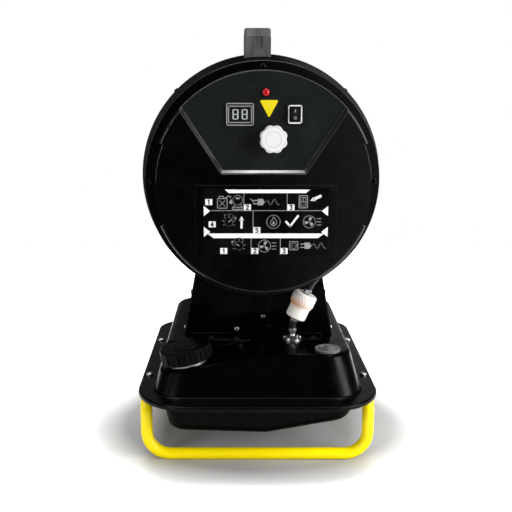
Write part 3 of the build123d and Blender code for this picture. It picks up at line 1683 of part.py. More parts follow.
def carry_handle():
    """A moulded bridge handle with feet that follow the drum."""
    z0, z1 = head_axis_z + drum_rear_r - 20, head_axis_z + handle_top
    lean = 10
    y0, y1 = handle_rear_y, handle_front_y
    side = [(y0, z0), (y1, z0), (y1, z1 - 14), (y1 - lean, z1), (y0 + lean, z1), (y0, z1 - 14)]
    under = z1 - handle_grip_t
    gap = [
        (y0 + handle_leg_t, z0 - 5),
        (y1 - handle_leg_t, z0 - 5),
        (y1 - handle_leg_t, under - 8),
        (y1 - handle_leg_t - 8, under),
        (y0 + handle_leg_t + 8, under),
        (y0 + handle_leg_t, under - 8),
    ]
    plane = Plane(origin=(handle_x - handle_w / 2, 0, 0), x_dir=(0, 1, 0), z_dir=(1, 0, 0))
    bridge = plane * extrude(outline(side), handle_w)
    rims = bridge.edges().filter_by(Axis.Z, reverse=True).filter_by(Axis.X, reverse=True)
    bridge = fillet(rims, handle_edge_r) - plane * extrude(outline(gap), handle_w)
    w, tall, deep = handle_recess
    bridge -= block(handle_x - w / 2, handle_x + w / 2, y0 - 1, y0 + deep, z1 - 34, z1 - 34 + tall)
    for y in handle_screw_y:
        bridge -= radial_holes(screw_r, y, [90 + handle_turn])[0]
    return bridge - drum_plug(seat_gap)


# Screws of one size that hold the sheet parts

def tower_screws():
    """Plated screws of the tower's rear and side walls."""
    screw = pan_head(screw_head_r, screw_head_h, screw_r, 8)
    solids = []
    for x, z in tower_rear_screw_places():
        solids.append(facing(0, -1, x, tower_rear_y, z) * screw)
    for seat in tower_side_seats():
        solids.append(seat * screw)
    return group(solids)


def dark_screws():
    """Blackened screws of the tower's feet, saddle, drum, cover, guard and handle."""
    screw = pan_head(screw_head_r, screw_head_h, screw_r, 8)
    solids = []
    for x, y in tower_foot_places():
        solids.append(tank_top(x, y) * Pos(0, 0, tower_sheet) * screw)
    for angle, y in saddle_screw_places():
        solids.append(radial_screw(drum_front_r - drum_sheet - 0.1, y, angle, 8, inward=False))
    for angle in drum_screw_angles():
        solids.append(radial_screw(drum_front_r + 0.1, drum_screw_y, angle, 8))
    cover_y = drum_rear_y - seat_gap - cover_t
    for x, z in cover_screw_places():
        solids.append(facing(0, -1, x, cover_y, head_axis_z + z) * screw)
    for x, z in guard_clip_places():
        solids.append(facing(0, 1, x, guard_clip_y, head_axis_z + z) * screw)
    turn = 90 + handle_turn
    rear_r = drum_rear_r + (handle_screw_y[0] - drum_rear_y) * flare - drum_sheet
    front_r = drum_front_r - drum_sheet
    for radius, y in ((rear_r - 2.5, handle_screw_y[0]), (front_r - 0.5, handle_screw_y[1])):
        solids.append(radial_screw(radius, y, turn, 14, inward=False))
    return group(solids)


def facing(dx, dy, x, y, z):
    """A seat at a point that looks along X or Y."""
    return Plane(origin=(x, y, z), x_dir=(-dy, dx, 0), z_dir=(dx, dy, 0))


nodes = {
    "tank_upper_shell": tank_upper_shell,
    "tank_lower_shell": tank_lower_shell,
    "drain_plug": drain_plug,
    "rear_skid_tube": lambda: skid_tube(-1),
    "front_skid_tube": lambda: skid_tube(1),
    "skid_end_plugs": skid_end_plugs,
    "skid_fasteners": skid_fasteners,
    "filler_neck": filler_neck,
    "filler_strainer": filler_strainer,
    "cap_gasket": cap_gasket,
    "filler_cap": filler_cap,
    "gauge_bezel": gauge_bezel,
    "gauge_body": gauge_body,
    "gauge_dial": gauge_dial,
    "gauge_lens": gauge_lens,
    "gauge_needle": gauge_needle,
    "float_arm": float_arm,
    "pickup_fitting": pickup_fitting,
    "lower_hose": lower_hose,
    "upper_hose": upper_hose,
    "hose_clamps": hose_clamps,
    "filter_bowl": filter_bowl,
    "filter_cap": filter_cap,
    "filter_element": filter_element,
    "tower_rear_panel": tower_rear_panel,
    "tower_front_panel": tower_front_panel,
    "head_saddle": head_saddle,
    "cable_gland": cable_gland,
    "drum_rear_shell": drum_rear_shell,
    "drum_front_shell": drum_front_shell,
    "rear_cover": rear_cover,
    "label_plate": label_plate,
    "display_module": display_module,
    "indicator_lamp": indicator_lamp,
    "index_mark": index_mark,
    "switch_body": switch_body,
    "switch_rocker": switch_rocker,
    "thermostat": thermostat,
    "knob_shaft": knob_shaft,
    "control_knob": control_knob,
    "control_board": control_board,
    "burner_bulkhead": burner_bulkhead,
    "flame_sensor": flame_sensor,
    "motor_bracket": motor_bracket,
    "fan_motor": fan_motor,
    "fan_shaft": fan_shaft,
    "fan_wheel": fan_wheel,
    "nozzle_holder": nozzle_holder,
    "ignition_electrodes": ignition_electrodes,
    "combustion_chamber": combustion_chamber,
    "radiant_head": radiant_head,
    "reflector": reflector,
    "ignition_transformer": ignition_transformer,
    "fuel_pump": fuel_pump,
    "fuel_pipe": fuel_pipe,
    "guard_grille": guard_grille,
    "guard_clips": guard_clips,
    "carry_handle": carry_handle,
    "tower_screws": tower_screws,
    "dark_screws": dark_screws,
}

os.makedirs("parts", exist_ok=True)
for name, make in nodes.items():
    export_step(make(), f"parts/{name}.step")
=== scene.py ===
import json
import math
import bpy
import bmesh
from mathutils import Matrix, Vector


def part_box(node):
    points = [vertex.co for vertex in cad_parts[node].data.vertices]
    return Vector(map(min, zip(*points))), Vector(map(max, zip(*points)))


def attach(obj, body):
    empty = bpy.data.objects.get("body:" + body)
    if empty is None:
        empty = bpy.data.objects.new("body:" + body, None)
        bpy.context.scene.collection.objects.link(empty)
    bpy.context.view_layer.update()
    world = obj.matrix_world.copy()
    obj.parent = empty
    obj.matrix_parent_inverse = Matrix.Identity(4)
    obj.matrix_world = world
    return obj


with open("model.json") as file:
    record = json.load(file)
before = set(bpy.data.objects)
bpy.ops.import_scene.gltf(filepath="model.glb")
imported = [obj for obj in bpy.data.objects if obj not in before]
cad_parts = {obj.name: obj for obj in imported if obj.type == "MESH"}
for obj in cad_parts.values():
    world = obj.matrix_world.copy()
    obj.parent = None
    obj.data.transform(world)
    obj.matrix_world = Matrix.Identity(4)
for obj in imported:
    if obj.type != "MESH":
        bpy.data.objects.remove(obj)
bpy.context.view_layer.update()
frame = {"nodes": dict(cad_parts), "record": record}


scene = bpy.context.scene
nodes = frame["nodes"]

MM = 0.001


def middle(node):
    """The centre of a CAD node's box."""
    low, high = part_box(node)
    return [(a + b) / 2 for a, b in zip(low, high)]


def back_face(node):
    """The middle of a node's face on the control side."""
    x, _, z = middle(node)
    return x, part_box(node)[0][1], z


def top_face(node):
    """The middle of a node's upper face."""
    x, y, _ = middle(node)
    return x, y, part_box(node)[1][2]


# Places taken from the CAD, in metres
AXIS_Z = middle("fan_motor")[2]
PANEL_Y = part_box("index_mark")[1][1]

# The camera: sizes in pixels of the photo, its place in metres and its pitch in degrees
IMAGE_PX = 512.0
FOCAL_PX = 750.0
SHIFT_PX = 17.0
SENSOR_MM = 36.0
CAMERA_PLACE = (-0.038, -1.351, 0.597)
CAMERA_PITCH = 11.53

# Depth of fine grain in paint and in print
PEEL = 0.00002
PRINT_GRAIN = 0.00001


# Materials

class Shader:
    """A node tree with one Principled shader and short ways to add to it."""

    def __init__(self, name):
        self.material = bpy.data.materials.new(name)
        self.material.use_nodes = True
        self.tree = self.material.node_tree
        self.bsdf = self.tree.nodes["Principled BSDF"]
        self.out = self.tree.nodes["Material Output"]
        self.coords = self.add("ShaderNodeTexCoord").outputs["Object"]

    def add(self, kind, **props):
        node = self.tree.nodes.new(kind)
        for key, value in props.items():
            setattr(node, key, value)
        return node

    def link(self, a, b):
        self.tree.links.new(a, b)

    def set(self, **sockets):
        """Uniform values on the Principled shader, with _ for each space in a socket's name."""
        for name, value in sockets.items():
            self.bsdf.inputs[name.replace("_", " ")].default_value = value

    def noise(self, scale, detail=2.0, stretch=None, distort=0.0):
        """Noise from about 0.3 to 0.7 with so many bumps per metre."""
        node = self.add("ShaderNodeTexNoise")
        node.inputs["Scale"].default_value = scale
        node.inputs["Detail"].default_value = detail
        node.inputs["Roughness"].default_value = 0.5
        node.inputs["Distortion"].default_value = distort
        source = self.coords
        if stretch:
            scaling = self.add("ShaderNodeMapping")
            scaling.inputs["Scale"].default_value = stretch
            self.link(source, scaling.inputs["Vector"])
            source = scaling.outputs["Vector"]
        self.link(source, node.inputs["Vector"])
        return node.outputs["Fac"]

    def ramp(self, source, stops):
        """A colour that follows a value through stops of place and colour."""
        node = self.add("ShaderNodeValToRGB")
        elements = node.color_ramp.elements
        while len(elements) < len(stops):
            elements.new(0.5)
        for element, (place, colour) in zip(elements, stops):
            element.position = place
            element.color = (*colour, 1.0)
        self.link(source, node.inputs["Fac"])
        return node.outputs["Color"]

    def spread(self, source, low, high, start=0.3, end=0.7):
        """A value that goes from low to high while the source goes from start to end."""
        node = self.add("ShaderNodeMapRange")
        node.inputs["From Min"].default_value = start
        node.inputs["From Max"].default_value = end
        node.inputs["To Min"].default_value = low
        node.inputs["To Max"].default_value = high
        self.link(source, node.inputs["Value"])
        return node.outputs["Result"]

    def mix(self, factor, a, b):
        """A colour between a and b."""
        node = self.add("ShaderNodeMix", data_type="RGBA", blend_type="MIX")
        self.feed(node.inputs[0], factor)
        self.feed(node.inputs[6], a)
        self.feed(node.inputs[7], b)
        return node.outputs[2]

    def feed(self, socket, value):
        """Link a socket or set a colour or a number."""
        if hasattr(value, "is_output"):
            self.link(value, socket)
        elif isinstance(value, (tuple, list)) and len(value) == 3:
            socket.default_value = (*value, 1.0)
        else:
            socket.default_value = value

    def maths(self, operation, a, b=0.0):
        node = self.add("ShaderNodeMath", operation=operation)
        for socket, value in zip(node.inputs, (a, b)):
            self.feed(socket, value)
        return node.outputs[0]

    def times(self, *factors):
        """The product of several values."""
        product = factors[0]
        for factor in factors[1:]:
            product = self.maths("MULTIPLY", product, factor)
        return product

    def bump(self, height, distance):
        """Raise the surface by up to a distance in metres."""
        node = self.add("ShaderNodeBump")
        node.inputs["Distance"].default_value = distance
        node.inputs["Strength"].default_value = 1.0
        self.link(height, node.inputs["Height"])
        self.link(node.outputs["Normal"], self.bsdf.inputs["Normal"])

    def axis(self, name):
        """One coordinate of the surface point, in metres."""
        node = self.add("ShaderNodeSeparateXYZ")
        self.link(self.coords, node.inputs[0])
        return node.outputs[name]

    def facing_up(self, start, end, low=0.0, high=1.0):
        """Low on faces whose normal rises less than start, high on those that rise more than end."""
        geometry = self.add("ShaderNodeNewGeometry")
        split = self.add("ShaderNodeSeparateXYZ")
        self.link(geometry.outputs["True Normal"], split.inputs[0])
        return self.spread(split.outputs["Z"], low, high, start, end)

    def radius(self, x, z):
        """The distance from a line along Y through x, z."""
        across = self.maths("POWER", self.maths("SUBTRACT", self.axis("X"), x), 2.0)
        up = self.maths("POWER", self.maths("SUBTRACT", self.axis("Z"), z), 2.0)
        return self.maths("SQRT", self.maths("ADD", across, up))

    def edges(self, radius=0.0012):
        """About 1 on sharp edges that face up, less on those that face down, and 0 on flats: the mask for
        lighter edges that are painted highlights, and on paint also wear.
        """
        bevel = self.add("ShaderNodeBevel", samples=6)
        bevel.inputs["Radius"].default_value = radius
        geometry = self.add("ShaderNodeNewGeometry")
        dot = self.add("ShaderNodeVectorMath", operation="DOT_PRODUCT")
        self.link(bevel.outputs["Normal"], dot.inputs[0])
        self.link(geometry.outputs["True Normal"], dot.inputs[1])
        facing = self.add("ShaderNodeSeparateXYZ")
        self.link(bevel.outputs["Normal"], facing.inputs[0])
        sharp = self.spread(dot.outputs["Value"], 1.0, 0.0, 0.75, 0.99)
        return self.times(sharp, self.spread(facing.outputs["Z"], 0.12, 1.0, -0.25, 0.4))


def painted(name, colour, rough=0.42, peel=900.0, dust=0.12, edge=0.35, gloss=0.15, wear_and_highlight=0.04):
    """Paint or powder coat: orange peel, a little dust and lighter edges that stand for both wear and a
    painted highlight where the edges face up.
    """
    s = Shader(name)
    light = tuple(min(1.0, c * 1.25 + 0.004) for c in colour)
    patches = s.spread(s.noise(14.0, 4.0), 0.0, dust)
    base = s.mix(patches, colour, light)
    # Lighter edge colour: partly wear, partly a painted highlight on edges that face up
    worn_and_lit = tuple(min(1.0, c * 1.6 + wear_and_highlight) for c in colour)
    breaks = s.spread(s.noise(120.0, 3.0), 0.2, 1.0)
    rim = s.times(s.edges(), edge, breaks)
    s.link(s.mix(rim, base, worn_and_lit), s.bsdf.inputs["Base Color"])
    s.link(s.spread(s.noise(35.0, 3.0), rough - 0.05, rough + 0.07), s.bsdf.inputs["Roughness"])
    s.bump(s.noise(peel, 2.0), PEEL)
    s.link(s.facing_up(-0.3, 0.0, gloss * 0.15, gloss), s.bsdf.inputs["Specular IOR Level"])
    return s.material


def drum_paint():
    """Black enamel with a painted highlight along the rear shell's rim, strongest on its upper half, and on
    edges that face up.
    """
    s = Shader("drum_black")
    base = s.mix(s.spread(s.noise(14.0, 4.0), 0.0, 1.0), (0.0005, 0.0005, 0.0006), (0.001, 0.001, 0.0011))
    low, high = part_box("drum_rear_shell")
    rim_r, rim_y = high[0], low[1]
    # Painted highlight: a bright line along the rear shell's rim and on edges that face up
    outer = s.spread(s.radius(0.0, AXIS_Z), 0.0, 1.0, rim_r - 0.0036, rim_r - 0.0026)
    back = s.spread(s.axis("Y"), 1.0, 0.0, rim_y + 0.0025, rim_y + 0.004)
    lit_upper_half = s.spread(s.axis("Z"), 0.12, 1.0, AXIS_Z - 0.02, AXIS_Z + 0.12)
    rim = s.maths("MAXIMUM", s.times(outer, back, lit_upper_half), s.times(s.edges(0.002), 0.6))
    rim = s.times(rim, s.spread(s.noise(40.0, 3.0), 0.55, 1.0))
    s.link(s.mix(rim, base, (0.62, 0.63, 0.63)), s.bsdf.inputs["Base Color"])
    s.link(s.spread(s.noise(35.0, 3.0), 0.25, 0.37), s.bsdf.inputs["Roughness"])
    s.bump(s.noise(900.0, 2.0), PEEL)
    s.set(Specular_IOR_Level=0.003)
    return s.material


def knob_white():
    """White plastic with a painted shade ring where a groove round the knob's face would be, and painted
    shade greying the grips towards their rim.
    """
    s = Shader("white_plastic")
    groove_r, grip_r, outer_r = 0.0118, 0.0165, 0.0195
    x, _, z = middle("control_knob")
    radius = s.radius(x, z)
    # Painted shade: a dark ring at the groove's radius, and grey growing towards the grips' rim
    from_groove = s.maths("ABSOLUTE", s.maths("SUBTRACT", radius, groove_r))
    groove_shade = s.spread(from_groove, 0.5, 0.0, 0.0003, 0.0011)
    marks = s.maths("MAXIMUM", groove_shade, s.spread(radius, 0.0, 0.55, grip_r, outer_r))
    tone = s.mix(s.spread(s.noise(22.0, 3.0), 0.0, 0.6), (0.75, 0.75, 0.745), (0.8, 0.8, 0.795))
    s.link(s.mix(marks, tone, (0.42, 0.42, 0.42)), s.bsdf.inputs["Base Color"])
    s.link(s.spread(s.noise(60.0, 3.0), 0.28, 0.42), s.bsdf.inputs["Roughness"])
    s.bump(s.noise(1800.0, 3.0), 0.00003)
    s.set(Specular_IOR_Level=0.3, Subsurface_Weight=0.1, Subsurface_Radius=(0.004, 0.003, 0.002))
    return s.material


def moulded(name, colour, rough=0.45, grain=1800.0, depth=0.00005, gloss=0.3):
    """Moulded plastic or rubber with a fine grain and faint flow marks."""
    s = Shader(name)
    other = tuple(min(1.0, c * 1.18 + 0.006) for c in colour)
    s.link(s.mix(s.spread(s.noise(22.0, 3.0), 0.0, 0.6), colour, other), s.bsdf.inputs["Base Color"])
    s.link(s.spread(s.noise(60.0, 3.0), rough - 0.06, rough + 0.08), s.bsdf.inputs["Roughness"])
    s.bump(s.noise(grain, 3.0), depth)
    s.set(Specular_IOR_Level=gloss)
    return s.material


def metal(name, colour, rough, stretch=(1.0, 1.0, 1.0), depth=0.00003):
    """Bare or plated metal with brushing, fine scratches and slight stains."""
    s = Shader(name)
    dull = tuple(c * 0.72 for c in colour)
    s.link(s.mix(s.spread(s.noise(30.0, 4.0), 0.0, 0.45), colour, dull), s.bsdf.inputs["Base Color"])
    brushing = s.noise(90.0, 4.0, stretch=stretch)
    s.link(s.spread(brushing, rough - 0.07, rough + 0.12), s.bsdf.inputs["Roughness"])
    s.bump(s.noise(500.0, 3.0, stretch=stretch), depth)
    s.set(Metallic=1.0)
    return s.material


def panel_coat():
    """Textured coat on the rear cover: black round the sunk panel, with painted light making the panel a
    lighter green-grey, a painted reflection lightening the black towards the right, and painted highlights on
    the lower ledge and the upper edges.
    """
    s = Shader("panel_grey")
    x, y, z = s.axis("X"), s.axis("Y"), s.axis("Z")
    # Painted light: the sunk panel is painted a lighter green-grey for the light it catches
    depth = s.spread(y, 0.0, 1.0, PANEL_Y - 0.0035, PANEL_Y - 0.0012)
    height = s.spread(z, 0.0, 1.0, AXIS_Z + 0.012, AXIS_Z + 0.016)
    behind = s.spread(y, 1.0, 0.0, PANEL_Y + 0.0005, PANEL_Y + 0.001)
    # Painted reflection: the black grows lighter towards the right
    painted_sheen = s.times(s.spread(x, 0.0, 1.0, -0.02, 0.16), s.spread(s.noise(9.0, 4.0), 0.6, 1.0))
    black = s.mix(painted_sheen, (0.0004, 0.00045, 0.0005), (0.0075, 0.0076, 0.0082))
    speckle = s.spread(s.noise(26.0, 5.0), 0.0, 1.0)
    grey = s.mix(speckle, (0.0083, 0.0103, 0.0098), (0.0118, 0.0140, 0.0134))
    base = s.mix(s.times(depth, height, behind), black, grey)
    # Painted highlight on the panel's lower ledge, brightest in the middle
    low_edge = s.spread(z, 1.0, 0.0, AXIS_Z + 0.022, AXIS_Z + 0.026)
    slope = s.spread(y, 0.0, 1.0, PANEL_Y - 0.0045, PANEL_Y - 0.003)
    centre = s.spread(s.maths("ABSOLUTE", x), 1.0, 0.35, 0.02, 0.06)
    lit = s.times(low_edge, behind, slope, s.facing_up(0.3, 0.6), centre)
    base = s.mix(lit, base, (0.75, 0.76, 0.76))
    # Painted highlight on the cover's edges, on the upper part only
    rim = s.times(s.edges(0.0022), s.spread(z, 0.1, 0.85, AXIS_Z + 0.004, AXIS_Z + 0.01))
    s.link(s.mix(rim, base, (0.24, 0.245, 0.245)), s.bsdf.inputs["Base Color"])
    s.link(s.spread(s.noise(40.0, 3.0), 0.2, 0.3), s.bsdf.inputs["Roughness"])
    s.bump(s.noise(1500.0, 2.0), PEEL)
    s.set(Specular_IOR_Level=0.2)
    return s.material


def black_plastic():
    """Black moulded plastic; the handle, above the drum, is a streaky grey apart from its faces that face up,
    and the other parts have a painted highlight on edges that face up.
    """
    s = Shader("black_plastic")
    high = s.spread(s.axis("Z"), 0.0, 1.0, AXIS_Z + 0.185, AXIS_Z + 0.19)
    flow = s.spread(s.noise(22.0, 3.0), 0.0, 0.6)
    plain_black = s.mix(flow, (0.0012, 0.0013, 0.0014), (0.0022, 0.0023, 0.0024))
    streaks = s.spread(s.noise(30.0, 4.0, stretch=(3.0, 1.0, 0.6)), 0.0, 1.0)
    grey_streaked = s.mix(streaks, (0.05, 0.05, 0.051), (0.12, 0.12, 0.121))
    grey_streaked = s.mix(s.facing_up(0.5, 0.8), grey_streaked, (0.008, 0.008, 0.008))
    base = s.mix(high, plain_black, grey_streaked)
    # Painted highlight on edges that face up, away from the handle
    rim = s.times(s.edges(0.0015), s.spread(high, 0.25, 0.0, 0.0, 1.0))
    s.link(s.mix(rim, base, (0.3, 0.3, 0.3)), s.bsdf.inputs["Base Color"])
    s.link(s.spread(s.noise(60.0, 3.0), 0.3, 0.42), s.bsdf.inputs["Roughness"])
    s.bump(s.noise(1800.0, 3.0), 0.00003)
    s.set(Specular_IOR_Level=0.03)
    return s.material


paint = {
    "tank_black": painted("tank_black", (0.0006, 0.0006, 0.0007), rough=0.24, edge=0.5, gloss=0.08,
                          wear_and_highlight=0.2, dust=0.03),
    "drum_black": drum_paint(),
    "panel_grey": panel_coat(),
    "skid_yellow": painted("skid_yellow", (1.0, 0.78, 0.0), rough=0.3, peel=500.0, edge=0.2, gloss=0.25),
    "black_plastic": black_plastic(),
    "black_gloss": moulded("black_gloss", (0.008, 0.0084, 0.0086), rough=0.2, grain=600.0, depth=0.00001),
    "white_plastic": knob_white(),
    "black_film": moulded("black_film", (0.0012, 0.0012, 0.0013), rough=0.2, grain=900.0,
                          depth=PRINT_GRAIN, gloss=0.06),
    "yellow_mark": moulded("yellow_mark", (0.75, 0.6, 0.01), rough=0.35, grain=900.0, depth=PRINT_GRAIN),
    "zinc_steel": metal("zinc_steel", (0.62, 0.62, 0.64), rough=0.26),
    "plain_steel": metal("plain_steel", (0.5, 0.5, 0.51), rough=0.34, stretch=(1.0, 1.0, 0.08)),
    "rubber_hose": moulded("rubber_hose", (0.0045, 0.0045, 0.0048), rough=0.36, grain=1400.0, depth=0.00006),
    "black_zinc": metal("black_zinc", (0.018, 0.018, 0.02), rough=0.24),
    "gauge_rim": moulded("gauge_rim", (0.09, 0.092, 0.094), rough=0.16, grain=500.0, depth=0.00001),
    "rubber_seal": moulded("rubber_seal", (0.02, 0.02, 0.02), rough=0.6),
    "filter_paper": moulded("filter_paper", (0.78, 0.30, 0.07), rough=0.7, grain=900.0, depth=0.0001),
    "gauge_white": moulded("gauge_white", (0.24, 0.245, 0.25), rough=0.4),
    "needle_red": moulded("needle_red", (0.55, 0.02, 0.015), rough=0.4),
    "float_foam": moulded("float_foam", (0.04, 0.035, 0.03), rough=0.8, grain=700.0, depth=0.0003),
    "brass_fitting": metal("brass_fitting", (0.72, 0.52, 0.22), rough=0.25),
    "polished_dish": metal("polished_dish", (0.86, 0.86, 0.86), rough=0.13, stretch=(1.0, 0.06, 1.0),
                           depth=0.00001),
    "motor_grey": painted("motor_grey", (0.09, 0.095, 0.1), rough=0.4),
    "motor_shaft": metal("motor_shaft", (0.6, 0.6, 0.6), rough=0.2),
    "guard_chrome": metal("guard_chrome", (0.7, 0.7, 0.71), rough=0.14, depth=0.00001),
    "board_green": moulded("board_green", (0.01, 0.09, 0.03), rough=0.3),
    "electrode_ceramic": moulded("electrode_ceramic", (0.8, 0.78, 0.72), rough=0.25),
}


def red_lens():
    """A red see-through lens that glows a little from inside, in a dark collar."""
    s = Shader("red_lens")
    collar = s.spread(s.axis("Y"), 0.0, 1.0, PANEL_Y - 0.0019, PANEL_Y - 0.0017)
    red = s.mix(s.spread(s.noise(300.0), 0.0, 0.5), (0.36, 0.002, 0.004), (0.55, 0.01, 0.012))
    s.link(s.mix(collar, red, (0.004, 0.004, 0.004)), s.bsdf.inputs["Base Color"])
    s.link(s.spread(collar, 0.12, 0.0, 0.0, 1.0), s.bsdf.inputs["Emission Strength"])
    s.set(Roughness=0.08, Transmission_Weight=0.1, Emission_Color=(0.8, 0.01, 0.012, 1.0))
    return s.material


def milky():
    """Milky plastic that lets the paper element show, stained by fuel above its joint, with painted shade in
    its creases, painted highlights on edges that face up and a faint painted glow.
    """
    s = Shader("clear_plastic")
    foot, head = Vector(middle("filter_bowl")), Vector(middle("filter_cap"))
    axis = (head - foot).normalized()
    joint = foot.lerp(head, 0.5)
    along = s.add("ShaderNodeVectorMath", operation="DOT_PRODUCT")
    s.link(s.coords, along.inputs[0])
    along.inputs[1].default_value = axis
    height = s.maths("SUBTRACT", along.outputs["Value"], joint.dot(axis))
    above = s.spread(height, 0.0, 1.0, -0.006, 0.003)
    below = s.spread(height, 1.0, 0.0, 0.004, 0.016)
    left = s.spread(s.axis("X"), 1.0, 0.15, joint.x - 0.012, joint.x + 0.016)
    stain = s.times(above, below, left, s.spread(s.noise(60.0, 3.0), 0.5, 0.95))
    base = s.mix(stain, (0.82, 0.79, 0.75), (0.84, 0.34, 0.11))
    seam = s.spread(s.maths("ABSOLUTE", s.maths("SUBTRACT", height, 0.0005)), 0.7, 0.0, 0.0004, 0.0014)
    base = s.mix(seam, base, (0.45, 0.25, 0.14))
    # Painted shade: darker in creases and hollows
    crease_shade = s.add("ShaderNodeAmbientOcclusion", samples=8)
    crease_shade.inputs["Distance"].default_value = 0.006
    base = s.mix(s.spread(crease_shade.outputs["AO"], 0.6, 0.0, 0.45, 0.95), base, (0.40, 0.36, 0.32))
    # Painted highlight: white on edges that face up
    base = s.mix(s.times(s.edges(), 0.6), base, (1.0, 1.0, 1.0))
    s.link(base, s.bsdf.inputs["Base Color"])
    # Painted glow: the plastic gives off a little light of its own colour, though it is no lamp
    s.link(base, s.bsdf.inputs["Emission Color"])
    s.bump(s.noise(700.0, 2.0), 0.00003)
    s.set(Roughness=0.25, Emission_Strength=0.08)
    clear = s.add("ShaderNodeBsdfTransparent")
    clear.inputs["Color"].default_value = (1.0, 0.92, 0.82, 1.0)
    blend = s.add("ShaderNodeMixShader")
    s.link(s.spread(s.noise(40.0, 2.0), 0.04, 0.1), blend.inputs[0])
    s.link(s.bsdf.outputs[0], blend.inputs[1])
    s.link(clear.outputs[0], blend.inputs[2])
    s.link(blend.outputs[0], s.out.inputs["Surface"])
    return s.material


def gauge_glass():
    """Clear, slightly rubbed lens over the fuel gauge's dial."""
    s = Shader("gauge_glass")
    s.link(s.spread(s.noise(200.0, 3.0), 0.05, 0.16), s.bsdf.inputs["Roughness"])
    s.set(Base_Color=(0.9, 0.93, 0.94, 1.0), Transmission_Weight=0.95, IOR=1.46)
    return s.material


def burner_steel():
    """Heat-resisting sheet with straw and blue heat tints."""
    s = Shader("burner_steel")
    tints = [(0.25, (0.32, 0.28, 0.24)), (0.45, (0.42, 0.33, 0.2)),
             (0.58, (0.25, 0.2, 0.26)), (0.75, (0.16, 0.19, 0.27))]
    tint = s.ramp(s.noise(18.0, 4.0, distort=0.6), tints)
    s.link(tint, s.bsdf.inputs["Base Color"])
    s.link(s.spread(s.noise(70.0, 4.0), 0.3, 0.55), s.bsdf.inputs["Roughness"])
    s.bump(s.noise(500.0, 4.0), 0.00008)
    s.set(Metallic=0.9)
    return s.material


paint["red_lens"] = red_lens()
paint["clear_plastic"] = milky()
paint["gauge_glass"] = gauge_glass()
paint["burner_steel"] = burner_steel()

for part in frame["record"]["subparts"]:
    node = nodes[part["node"]]
    node.data.materials.clear()
    node.data.materials.append(paint[part["material_slot"]])


# Pieces made here

def piece(name, mesh, material, body="heater", smooth=True):
    """An object that rides on a body and has one material."""
    obj = bpy.data.objects.new(name, mesh)
    scene.collection.objects.link(obj)
    mesh.materials.append(material)
    if smooth:
        mesh.shade_smooth()
    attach(obj, body)
    return obj


def mesh_of(build):
    """A mesh made by a function that fills a bmesh."""
    bm = bmesh.new()
    build(bm)
    bmesh.ops.recalc_face_normals(bm, faces=bm.faces)
    mesh = bpy.data.meshes.new("mesh")
    bm.to_mesh(mesh)
    bm.free()
    return mesh


def hit(node, start, direction):
    """Where a ray meets a CAD node, and the face's normal there."""
    obj = nodes[node]
    to_local = obj.matrix_world.inverted()
    start, direction = to_local @ Vector(start), to_local.to_3x3() @ Vector(direction)
    found, place, normal, _ = obj.ray_cast(start, direction)
    if not found:
        raise ValueError(f"the ray misses {node}")
    return obj.matrix_world @ place, (obj.matrix_world.to_3x3() @ normal).normalized()


